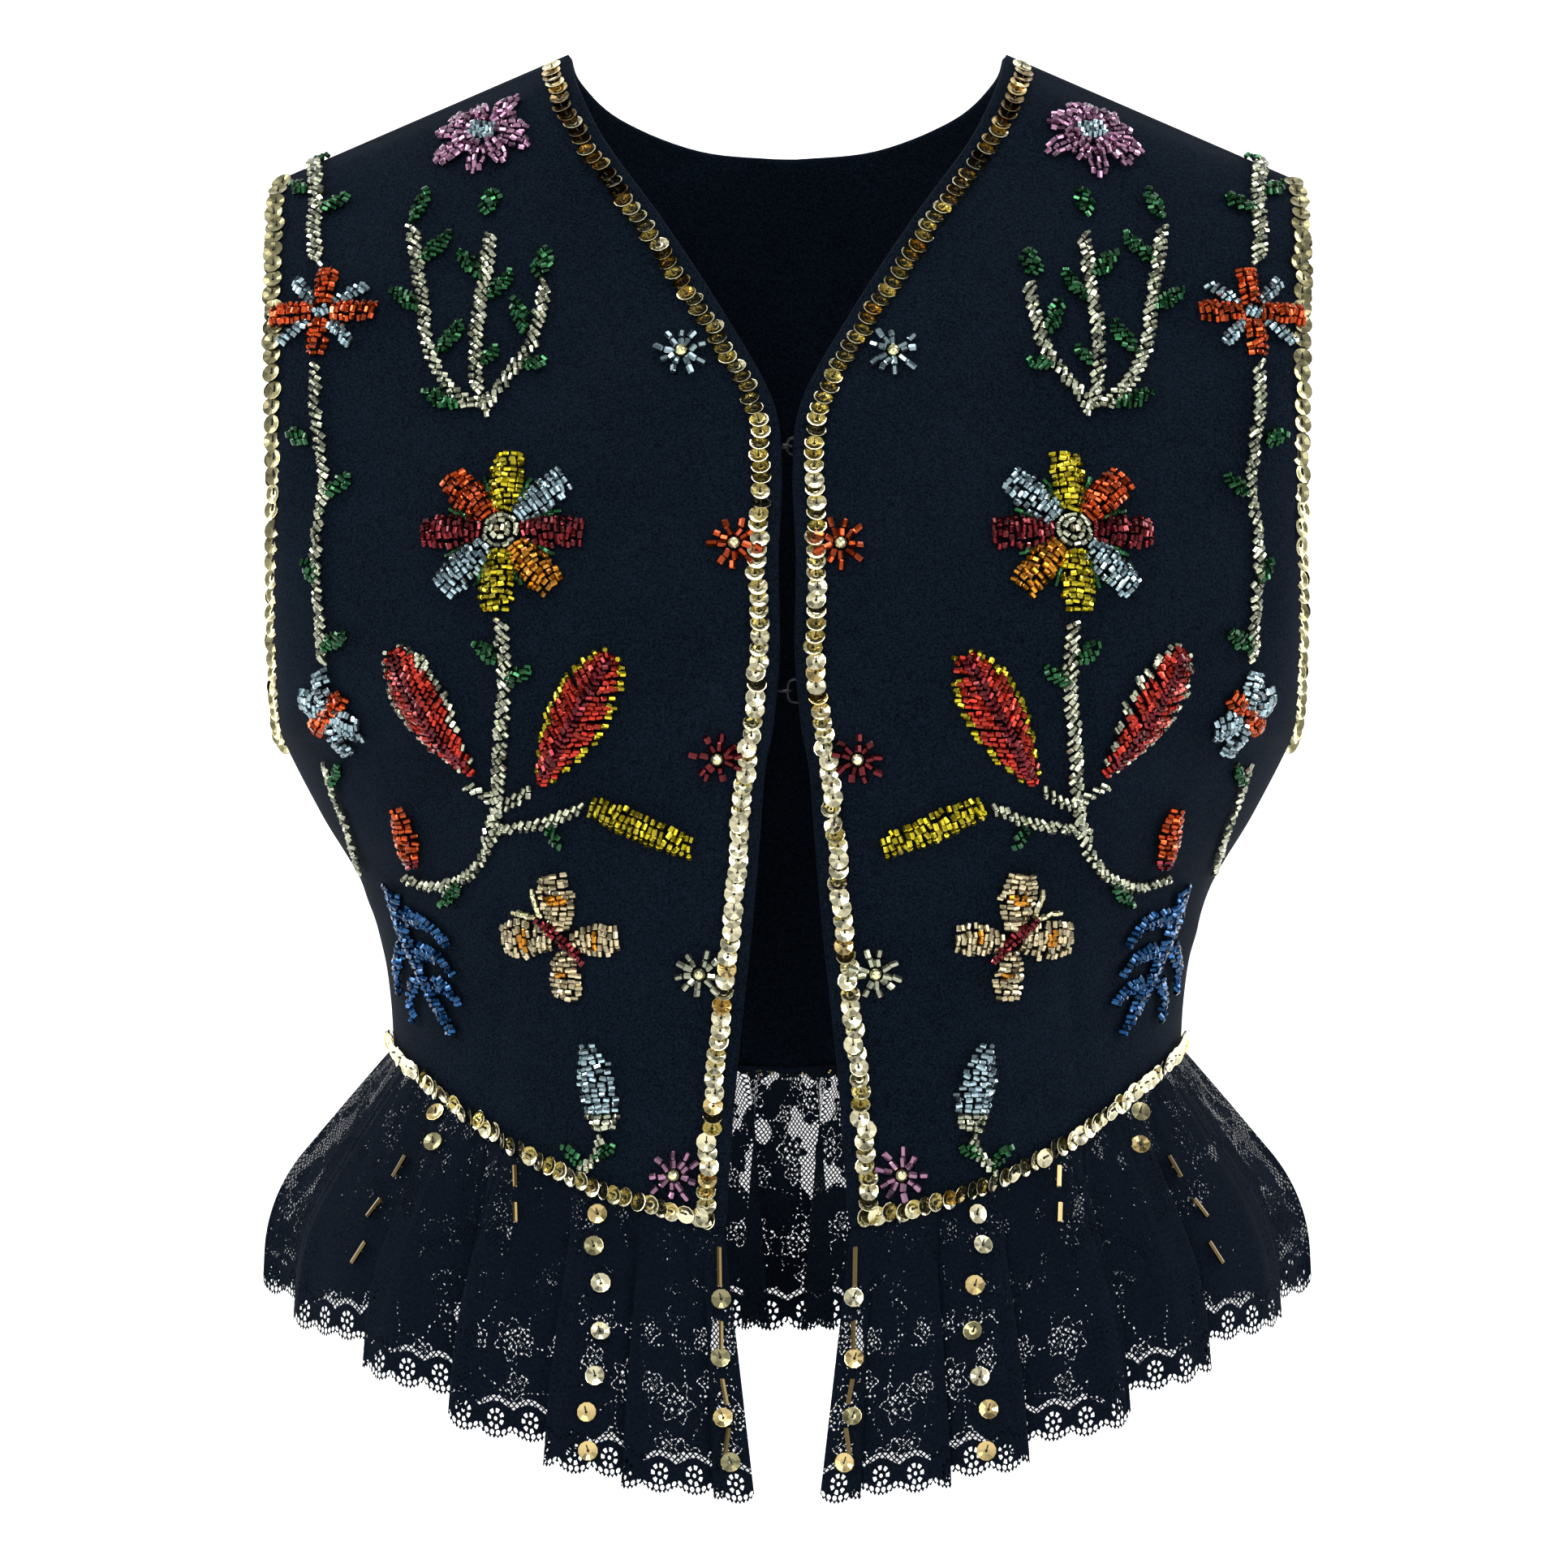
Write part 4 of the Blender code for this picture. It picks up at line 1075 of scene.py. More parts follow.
class Beadwork:
    """The beads of one motif, laid by hand on one front's cloth, on the viewer's right."""

    def __init__(self, surface, rng, settings):
        self.surface = surface
        self.rng = rng
        self.length = settings.length
        self.width = settings.width
        self.loose = settings.unevenness
        self.beads = []

    def bead(self, point, along, out, colour, length=1.0, width=1.0, lightest=1.0):
        loose = self.loose
        along = unit(np.asarray(along) + self.rng.normal(0, 0.15 * loose, 3))
        self.beads.append(Bead(
            point + self.rng.normal(0, 0.00016 * loose, 3), along,
            unit(np.asarray(out) + self.rng.normal(0, 0.5 * loose, 3)),
            length * self.rng.uniform(0.88, 1.10), width * self.rng.uniform(0.92, 1.08),
            COLOUR_ORDER.index(colour), float(self.rng.uniform(0, lightest))))

    def drawn(self, points):
        """A path on the cloth through points that are given as seen from the front, in mm."""
        line = smooth_path(np.array(points) / 1000)
        return np.array([seen_at(self.surface, x, z)[0] for x, z in line])

    def row(self, centre, direction, width, rise, colour, share):
        """Beads end to end across a padded form, from side to side over its crown."""
        pitch = self.length * 1.02
        count = max(1, round(width / pitch))
        for k in range(count):
            v = (2 * k + 1) / count - 1
            if count > 1:
                v += self.rng.normal(0, 0.055 * self.loose)
            offset = v * width / 2
            hit, facing = nearest(self.surface, centre + direction * offset)
            height = rise * (1 - v * v)
            slope = -2 * v * rise / (width / 2) if width > pitch else 0.0
            along = direction + facing * slope
            point = hit + facing * (self.width * 0.5 + height)
            shade = colour(share, v) if callable(colour) else colour
            self.bead(point, along, facing, shade)

    def stations(self, path, spacing, reach):
        """Evenly spaced places along a path: share of its length, point, and the directions along
        and across it, which are taken over a reach to both sides."""
        runs = run_lengths(path)
        count = max(2, round(runs[-1] / spacing))
        for k in range(count):
            share = (k + 0.5) / count
            at = share * runs[-1]
            centre = along_path(path, runs, at)
            tangent = unit(along_path(path, runs, min(at + reach, runs[-1]))
                           - along_path(path, runs, max(at - reach, 0)))
            _, facing = nearest(self.surface, centre)
            yield share, centre, tangent, unit(np.cross(facing, tangent))

    def band(self, path, width, colour, rise=0.0008, slant=90, spacing=None):
        """Rows of beads along a path, as satin stitch. Width and rise may follow the path."""
        steep = max(0.35, abs(math.sin(math.radians(slant))))
        for share, centre, tangent, across in self.stations(
                path, spacing or self.width / steep, 0.001):
            turn = math.radians(slant + self.rng.normal(0, 5 * self.loose))
            direction = tangent * math.cos(turn) + across * math.sin(turn)
            wide = width(share) if callable(width) else width
            high = rise(share) if callable(rise) else rise
            self.row(centre, direction, wide / max(0.5, abs(math.sin(turn))), high, colour, share)

    def rope(self, points, colour, width=0.0042, slant=136):
        """A corded stem: short slanted rows, seen from the front as one twisted line."""
        self.band(self.drawn(points), width, colour, rise=0.0009, slant=slant,
                  spacing=self.width * 1.06 / abs(math.sin(math.radians(slant))))

    def small_leaf(self, base, tip, width, colour="emerald", slant=62):
        """A small padded leaf from its base to its tip, as seen from the front, in mm."""
        def wide(share):
            return width * 0.00128 * max(0.42, math.sin(math.pi * (0.12 + 0.80 * share)))

        self.band(self.drawn((base, tip)), wide, colour, rise=0.0011, slant=slant,
                  spacing=self.width * 1.04)

    def feather(self, path, width, colours, rise):
        """A padded leaf whose rows run out and on from its vein to both sides."""
        pitch = self.length * 1.02
        for share, centre, tangent, across in self.stations(path, self.width * 0.98, 0.002):
            half = width * 0.5 * max(0.12, math.sin(math.pi * (0.04 + 0.90 * share)) ** 0.8)
            for side in (-1, 1):
                turn = math.radians(58 + self.rng.normal(0, 4 * self.loose))
                direction = tangent * math.cos(turn) + across * (side * math.sin(turn))
                reach = half / math.sin(turn)
                for i in range(max(1, round(reach / pitch))):
                    offset = (i + 0.5) * pitch
                    v = min(1, offset / reach)
                    hit, facing = nearest(self.surface, centre + direction * offset)
                    height = rise * math.sin(math.pi * share) ** 0.5 * (1 - v * v)
                    slope = -2 * v * rise / max(reach, 0.003)
                    shade = colours[min(len(colours) - 1, int(v * len(colours)))]
                    if side < 0:
                        shade = colours[-1 - min(len(colours) - 1, int((1 - v) * len(colours)))]
                    self.bead(hit + facing * (self.width * 0.5 + height),
                              direction + facing * slope, facing, shade)


class Patch:
    """Plane directions at one place of the cloth. A form's points are given there in mm."""

    def __init__(self, surface, x, z, tilt=0.0):
        self.surface = surface
        self.middle, self.out = seen_at(surface, x / 1000, z / 1000)
        self.across = unit(np.cross((0, 0, 1), self.out))
        self.across *= np.sign(self.across[0]) or 1
        self.up = unit(np.cross(self.out, self.across))
        self.up *= np.sign(self.up[2])
        self.tilt = math.radians(tilt)

    def at(self, a, b):
        """The point of the cloth at a across and b up."""
        turned_a = a * math.cos(self.tilt) - b * math.sin(self.tilt)
        turned_b = a * math.sin(self.tilt) + b * math.cos(self.tilt)
        aside = (self.across * turned_a + self.up * turned_b) / 1000
        start = self.middle + aside + self.out * 0.03
        hit, _, _, _ = self.surface.tree.ray_cast(Vector(start), Vector(-self.out))
        return np.array(hit) if hit is not None else nearest(self.surface, self.middle + aside)[0]

    def ring_point(self, radius, angle):
        """The point at a radius in mm and an angle in degrees."""
        turn = math.radians(angle)
        return self.at(radius * math.cos(turn), radius * math.sin(turn))

    def path(self, points):
        """A smooth path on the cloth through points of the patch."""
        return np.array([self.at(a, b) for a, b in smooth_path(np.array(points, float), 0.5)])


def spoke(angle, radii, stretch=1.0):
    """Points out from the middle of a patch, at radii in mm and an angle in degrees."""
    turn = math.radians(angle)
    return [(r * math.cos(turn) * stretch, r * math.sin(turn)) for r in radii]


def swelling(width, ends, start, run):
    """A width that swells along a path as a sine does, from a least share of it at the ends."""
    return lambda share: width * (ends + (1 - ends) * math.sin(math.pi * (start + run * share)))


# The motifs. Places are in mm, on the viewer's right, as seen from the front.

def sew_shoulder_flower(work):
    """A ragged lilac bloom of bead loops round a pale middle."""
    patch = Patch(work.surface, 98.8, -4.5, 6)
    for layer, (count, inner, outer, rows) in enumerate(((11, 5.0, 15.6, 3), (7, 3.6, 10.0, 2))):
        for k in range(count):
            turn = math.radians(360 * (k + 0.4 * layer) / count + work.rng.normal(0, 5))
            reach = outer * work.rng.uniform(0.76, 1.14)
            for row in range(rows):
                aside = row - (rows - 1) / 2
                tip = reach - 1.2 * abs(aside)
                line = patch.path([
                    ((r * math.cos(turn) - off * math.sin(turn)) * 1.1,
                     (r * math.sin(turn) + off * math.cos(turn)) * 1.12)
                    for r, off in ((inner, 1.0 * aside), ((inner + tip) / 2, 2.2 * aside),
                                   (tip, 1.5 * aside))])
                beads = max(2, round((tip - inner) / 2.4))
                for i in range(beads):
                    at = (i + 0.5) / beads
                    index = int(at * (len(line) - 1))
                    along = unit(line[min(index + 1, len(line) - 1)] - line[max(index - 1, 0)])
                    point, facing = nearest(work.surface, line[index])
                    height = 0.0010 + 0.0015 * layer + 0.0013 * math.sin(math.pi * at)
                    work.bead(point + facing * height, along + facing * (0.5 - at), facing, "lilac",
                              1.04, 0.96)
    for column in range(5):
        for row in range(3):
            point, facing = nearest(work.surface, patch.at(1.8 * column - 3.6, 2.3 * row - 2.6
                                                           + 0.5 * (column % 2)))
            work.bead(point + facing * 0.0033, (0.12, 0, 1), facing, "pale_blue")


def sew_sprig(work):
    """Three corded stems from one foot, with emerald leaves."""
    stems = (
        ((122, -35), (120.5, -48), (118.5, -60), (117, -73), (111, -86), (102, -94)),
        ((96.5, -37), (98, -48), (100, -60), (101.5, -74), (101, -86), (99, -95)),
        ((78.5, -53), (81, -64), (84, -74), (90.5, -83), (96, -90), (99, -95)),
    )
    for stem in stems:
        work.rope(stem, "silver_green")
    leaves = (
        ((121.5, -33), (117.5, -22.5), 4.6), ((118.5, -46), (109.5, -36.5), 5.0),
        ((119.5, -61), (129.5, -55.5), 4.6), ((113, -76), (106, -65), 5.0),
        ((107, -92.5), (119.5, -89), 4.8), ((99.5, -51), (107.5, -43), 4.6),
        ((97, -59), (90, -48.5), 4.4), ((99, -80), (94, -73), 4.2),
        ((97, -31), (96.6, -22.5), 5.8), ((79.8, -51), (79.6, -42), 6.2),
        ((85, -69), (89.5, -58), 4.6), ((86.5, -80.5), (78, -78), 4.6),
    )
    for base, tip, width in leaves:
        work.small_leaf(base, tip, width)


def sew_vine(work):
    """The long corded stem beside the armhole, with emerald leaves."""
    work.rope(((154.2, -13.5), (153.4, -24), (154, -36), (153.4, -47)), "silver_green", 0.0048)
    work.rope(((153.4, -79), (153.8, -92), (152.2, -104), (150.8, -119), (152.8, -134),
               (153.2, -147), (152, -160), (151.2, -176)), "silver_green", 0.0040)
    work.rope(((150.2, -209), (147.5, -218), (144, -227), (141, -236), (138, -245)),
              "silver_green", 0.0026)
    leaves = (
        ((153.5, -13), (149.3, -11.2), 4.2), ((156.4, -23.5), (161.5, -21.4), 4.4),
        ((151.6, -30), (143, -24.4), 5.4), ((155.6, -104), (162.5, -102.2), 4.4),
        ((149.6, -122), (142.4, -115), 5.0), ((152.6, -150), (157.6, -143), 4.4),
        ((150.6, -172), (143, -166), 4.8), ((147.8, -216), (145, -209), 3.4),
    )
    for base, tip, width in leaves:
        work.small_leaf(base, tip, width)


def petal(work, patch, angle, inner, outer, width, colour, rise, slant=90, stretch=1.0):
    """One padded petal of a flower on a patch."""
    work.band(patch.path(spoke(angle, (inner, outer), stretch)),
              swelling(width * 0.001, 0.55, 0.10, 0.72), colour,
              rise=swelling(rise * 0.001, 0, 0.15, 0.70), slant=slant)


def sew_vine_flower(work):
    """A four-petalled orange flower with pale blue between its petals."""
    patch = Patch(work.surface, 151.5, -62.5)
    for angle in (45, 135, 225, 315):
        petal(work, patch, angle + 3, 4.5, 15.5, 4.6, "pale_blue", 1.2, 70, 1.2)
    for angle in (0, 90, 180, 270):
        petal(work, patch, angle - 2, 2.5, 15.6, 8.0, "orange", 2.6, 96, 1.2)
    middle = patch.path([(-2.5, 1), (2.5, -1)])
    work.band(middle, 0.0042, "pale_blue", rise=0.0018, slant=75)


def sew_side_flower(work):
    """A pale blue flower with orange, seen from its side at the end of the vine."""
    patch = Patch(work.surface, 149.0, -193.5)
    for angle, reach, colour, width in (
            (90, 15.0, "pale_blue", 9.4), (143, 11.0, "orange", 7.0), (205, 13.5, "pale_blue", 9.4),
            (270, 15.0, "pale_blue", 9.4), (330, 10.0, "orange", 7.0),
            (28, 12.5, "pale_blue", 9.4)):
        petal(work, patch, angle, 2.0, reach, width, colour, 2.3, 78, 1.15)
    middle = patch.path([(-2.8, 0), (2.8, 0)])
    work.band(middle, 0.0052, "orange", rise=0.0026, slant=85)


def sew_large_flower(work):
    """The large flower of the front: eight padded petals, each in its own colour."""
    patch = Patch(work.surface, 93, -134)
    colours = ("yellow", "orange", "crimson", "pale_blue", "yellow", "amber", "crimson",
               "pale_blue")
    for k, colour in enumerate(colours):
        petal(work, patch, 90 - 45 * k, 6.5, 27.2, 11.4, colour, 3.4, 94 if k % 2 else 86)
    for k in range(8):
        work.band(patch.path(spoke(112.5 + 45 * k, (9, 19))), 0.0021, "emerald", rise=0.0002,
                  slant=0, spacing=0.0021)
    for radius, height, count, colour in (
            (0.8, 0.0040, 2, "champagne"), (2.9, 0.0036, 7, "silver_green"),
            (5.2, 0.0026, 13, "silver_green")):
        for k in range(count):
            point, facing = nearest(work.surface, patch.ring_point(radius, 360 * k / count))
            outward = unit(point - patch.middle)
            work.bead(point + facing * height, np.cross(facing, outward), facing, colour)


def on_patch(work, x, z, length, tilt):
    """A leaf's middle line on the cloth at its place."""
    patch = Patch(work.surface, x, z, tilt)
    return patch.path([(-length * 0.485, 0), (0, 0.4), (length * 0.485, 0)])


def sew_leaf_outer(work):
    """A padded leaf in coral and crimson with a pale green edge."""
    work.feather(on_patch(work, 117, -194, 50, 60), 0.0205,
                 ("crimson", "coral", "coral", "silver_green"), 0.0036)


def sew_leaf_inner(work):
    """Its pair nearer the front edge, with a yellow edge."""
    work.feather(on_patch(work, 70, -196, 50, 120), 0.0205,
                 ("crimson", "coral", "coral", "yellow"), 0.0036)


def sew_stem(work):
    """The stem that carries the large flower, the leaves and the buds."""
    work.rope(((93, -163), (92, -184), (93.5, -204), (94.5, -224), (98, -237)), "silver_green",
              0.0046)
    work.rope(((97.5, -238), (104, -246), (114, -249.5), (124.5, -246.5)), "silver_green", 0.0036)
    work.rope(((94.3, -222), (99, -219), (104.5, -216)), "silver_green", 0.0036)
    work.rope(((94, -224), (88, -221), (82.8, -218)), "silver_green", 0.0036)
    work.rope(((66.5, -223.5), (79, -228.5), (94, -231)), "silver_green", 0.0036)
    for base, tip, width in (((94.5, -176), (102, -170), 4.6), ((91, -184), (83.5, -177.5), 4.6),
                             ((106, -248), (112, -256), 4.2), ((78, -230), (73, -237), 4.0)):
        work.small_leaf(base, tip, width)


def sew_spray(work):
    """A plump yellow catkin, its rows side by side over a padding."""
    patch = Patch(work.surface, 48, -230, 24)
    path = patch.path([(17.5, 0), (0, 0), (-18.5, 0)])
    work.band(path, swelling(0.0098, 0.58, 0.16, 0.70), "yellow", rise=0.0026,
              spacing=work.width * 1.08)


def sew_butterfly(work):
    """A champagne butterfly on the slant, its wings edged and barred."""
    patch = Patch(work.surface, 73, -267, -45)

    def barred(share, v):
        return "amber" if 0.42 < share < 0.60 and abs(v) < 0.45 else "champagne"

    for side in (-1, 1):
        for angle, reach, wide in ((45, 23.0, 0.013), (-45, 20.0, 0.011)):
            wing = patch.path(spoke(angle if side > 0 else 180 - angle, (3.2, reach)))
            work.band(wing, swelling(wide, 0.30, 0.06, 0.74), barred, rise=0.0014)
    body = patch.path([(0, -11), (0, 0), (0, 11)])
    work.band(body, swelling(0.0046, 0.5, 0, 1), "crimson", rise=0.0022)
    for side in (-1, 1):
        feeler = patch.path([(side * 0.8, 11), (side * 3.4, 15.5), (side * 5.5, 18)])
        work.band(feeler, 0.0018, "gold", rise=0.0002, slant=0, spacing=0.0021)


def sew_bud_inner(work):
    """A grey-blue tulip bud."""
    work.band(on_patch(work, 62, -315, 30, 80), swelling(0.0128, 0.30, 0.14, 0.82),
              lambda t, v: "silver_green" if t < 0.16 else "pale_blue", rise=0.0030, slant=96)


def sew_bud_outer(work):
    """A small orange bud."""
    work.band(on_patch(work, 124, -233, 22, 100), swelling(0.0110, 0.30, 0.14, 0.80),
              lambda t, v: "crimson" if t < 0.18 else "orange", rise=0.0028, slant=84)


def sew_fern(work):
    """A royal blue fern frond that hangs at the waist."""
    def frond(points, wide, slant):
        work.band(work.drawn(points), lambda t: wide * (1.1 - 0.6 * t), "royal_blue", rise=0.0014,
                  slant=slant, spacing=work.width * 1.12)

    frond(((128.5, -250), (125, -262), (120, -274), (114.5, -286), (108, -298)), 0.0082, 122)
    for x, z, reach in ((125.5, -259, 16.0), (121.5, -270, 14.0), (117, -281, 11.5)):
        frond(((x - 2, z), (x - reach * 0.62, z - reach * 0.20), (x - reach, z - reach * 0.62)),
              0.0066, 118)
    for x, z, reach in ((122.5, -268, 16.5), (118, -279, 14.5)):
        frond(((x + 2, z), (x + 3.4, z - reach * 0.5), (x + 2.2, z - reach)), 0.0062, 62)


def sew_bud_stem(work):
    """The stem and leaves of the tulip bud."""
    work.rope(((60, -331), (62.5, -338), (68, -343)), "silver_green", 0.0030)
    work.small_leaf((63, -338), (55.5, -334), 3.4)
    work.small_leaf((66, -341), (73, -334), 3.6)


DAISIES = ((34.5, -75.5, "pale_blue"), (17.5, -138, "orange"), (23.0, -208, "crimson"),
           (28.5, -278, "silver_green"), (37, -344, "lilac"))


def sew_daisies(work):
    """Five small daisies down the front edge, each a ring of bead rays."""
    for x, z, colour in DAISIES:
        patch = Patch(work.surface, x, z, work.rng.uniform(-12, 12))
        for k in range(9):
            angle = 40 * k + work.rng.normal(0, 6)
            ray = work.rng.uniform(7.4, 9.6) - 2.4
            for share, height in ((0.25, 0.0012), (0.75, 0.0015)):
                radius = 2.4 + ray * share
                point, facing = nearest(work.surface, patch.ring_point(radius, angle))
                outward = unit(patch.ring_point(radius + 1, angle)
                               - patch.ring_point(radius - 1, angle))
                work.bead(point + facing * height, outward, facing, colour, ray / 4.9, 1.22, 0.45)


def sew_daisy_hearts(work):
    """One round gold bead in the middle of each daisy."""
    for x, z, _ in DAISIES:
        patch = Patch(work.surface, x, z)
        point, facing = nearest(work.surface, patch.middle)
        work.beads.append(Bead(point + facing * 0.0019, facing, patch.across, 0.0042 / work.length,
                               0.0042 / work.width, COLOUR_ORDER.index("gold"),
                               float(work.rng.uniform(0.6, 1))))


MOTIFS = {
    "shoulder_flower": (sew_shoulder_flower, "beads_lilac"),
    "sprig": (sew_sprig, "beads_mixed"),
    "vine": (sew_vine, "beads_mixed"),
    "vine_flower": (sew_vine_flower, "beads_orange"),
    "side_flower": (sew_side_flower, "beads_blue"),
    "large_flower": (sew_large_flower, "beads_mixed"),
    "leaf_outer": (sew_leaf_outer, "beads_coral"),
    "leaf_inner": (sew_leaf_inner, "beads_coral"),
    "stem": (sew_stem, "beads_mixed"),
    "spray": (sew_spray, "beads_yellow"),
    "butterfly": (sew_butterfly, "beads_champagne"),
    "bud_inner": (sew_bud_inner, "beads_blue"),
    "bud_outer": (sew_bud_outer, "beads_orange"),
    "bud_stem": (sew_bud_stem, "beads_mixed"),
    "fern": (sew_fern, "beads_blue"),
    "daisies": (sew_daisies, "beads_mixed"),
    "daisy_hearts": (sew_daisy_hearts, "beads_champagne"),
}
PADS = ("shoulder_flower", "vine_flower", "side_flower", "large_flower", "butterfly", "leaf_outer",
        "leaf_inner", "spray", "bud_inner", "bud_outer")


class VEST_OT_beads(bpy.types.Operator):
    """Sews the bead embroidery on both fronts"""

    bl_idname = "vest.beads"
    bl_label = "Bead embroidery"

    def execute(self, context):
        settings = context.scene.vest_beads
        materials = [bead_material(name, code) for name, code in BEAD_COLOURS.items()]
        form = turned_template("bead form", 6, (
            (0.40, -0.5), (0.5, -0.38), (0.5, 0.38), (0.40, 0.5)))
        tree = sewing_tree("Beads on cloth", form, materials)
        ball = turned_template("round bead form", 10, (
            (0.12, -0.49), (0.33, -0.38), (0.48, -0.15), (0.48, 0.15), (0.33, 0.38), (0.12, 0.49)))
        ball_tree = sewing_tree("Round beads", ball, materials)
        for side, sign in SIDES.items():
            surface = surface_of(front_cloth(side)[0])
            for index, (name, (sew, slot)) in enumerate(MOTIFS.items()):
                work = Beadwork(surface, np.random.default_rng(SEED + 10 * index + sign), settings)
                sew(work)
                sewing = ball_tree if name == "daisy_hearts" else tree
                made = sewn(f"{name}_beads_{side}", work.beads, sewing, settings.length,
                            settings.width, sign)
                hand_over(made, f"{name}_{side}" if name in PADS else None, slot)
        bpy.data.objects.remove(form)
        bpy.data.objects.remove(ball)
        return {"FINISHED"}


def edge_row(surface, line, inset, spacing):
    """Places in from an edge on a surface, evenly spaced: points, normals and directions."""
    tangents = unit(np.gradient(line, axis=0))
    middle = surface.points.reshape(-1, 3).mean(axis=0)
    shifted = []
    for point, tangent in zip(line, tangents):
        _, facing = nearest(surface, point)
        inward = unit(np.cross(facing, tangent))
        if inward @ (middle - point) < 0:
            inward = -inward
        shifted.append(nearest(surface, point + inward * inset)[0])
    shifted = np.array(shifted)
    runs = run_lengths(shifted)
    count = max(2, round(runs[-1] / spacing))
    points = along_path(shifted, runs, (np.arange(count) + 0.5) / count * runs[-1])
    directions = unit(np.gradient(points, axis=0))
    return [(*nearest(surface, point), direction) for point, direction in zip(points, directions)]


def sequin_bead(point, out, along, tilt, lift, colour, rng, loose=1.0):
    """One sequin at a point, its normal leant by tilt degrees along the row."""
    turn = math.radians(tilt + rng.normal(0, 8 * loose))
    aside = np.cross(out, along)
    lean = aside * rng.normal(0, 0.13 * loose)
    facing = unit(out * math.cos(turn) + along * math.sin(turn) + lean)
    place = point + out * lift + aside * rng.normal(0, 0.0004) + along * rng.normal(0, 0.0003)
    return Bead(place, facing, along, 1.0, 1.0, colour, float(rng.uniform(0, 1)))


ARMHOLE_INSET, HEM_INSET = 0.0012, 0.0022
STITCH_LENGTH, STITCH_WIDTH = 0.0021, 0.00042
STITCH_FROM_HOLE = 0.0009


def thread_bead(sequin, along):
    """The stitch from a sequin's hole over its rim."""
    facing = unit(sequin.along)
    run = unit(along - facing * (along @ facing))
    place = sequin.centre + facing * 0.00035 + run * STITCH_FROM_HOLE
    return Bead(place, run, facing, 1.0, 1.0, THREAD, 0.5)


# What is sewn on each front's lace: sequins, and bugles from their upper to their lower end, in
# mm as seen from the front. Groups run from the front edge to the side.
LACE_WORK = (
    (((21.7, -384), (21.7, -404), (21.0, -423), (18.3, -438)),
     (((22.2, -367.5), (22, -380.5)), ((21.6, -391.7), (21.5, -401.2)),
      ((21.2, -410.5), (19.6, -419)), ((19.0, -426.4), (20.2, -435.0)))),
    (((62, -357), (63.3, -367), (61.5, -380), (60.7, -395.4), (63, -409.7), (65.5, -421),
      (64.9, -434)), ()),
    (((114.7, -323.8), (114.7, -333.8)),
     (((88.4, -341), (88.2, -348)), ((88.8, -353), (88.6, -359.5)),
      ((132, -352), (136.5, -358)), ((137, -366), (141.5, -373)), ((128, -345), (124, -338)))),
)
BUGLE_LENGTH, BUGLE_WIDTH = 0.01, 0.0017


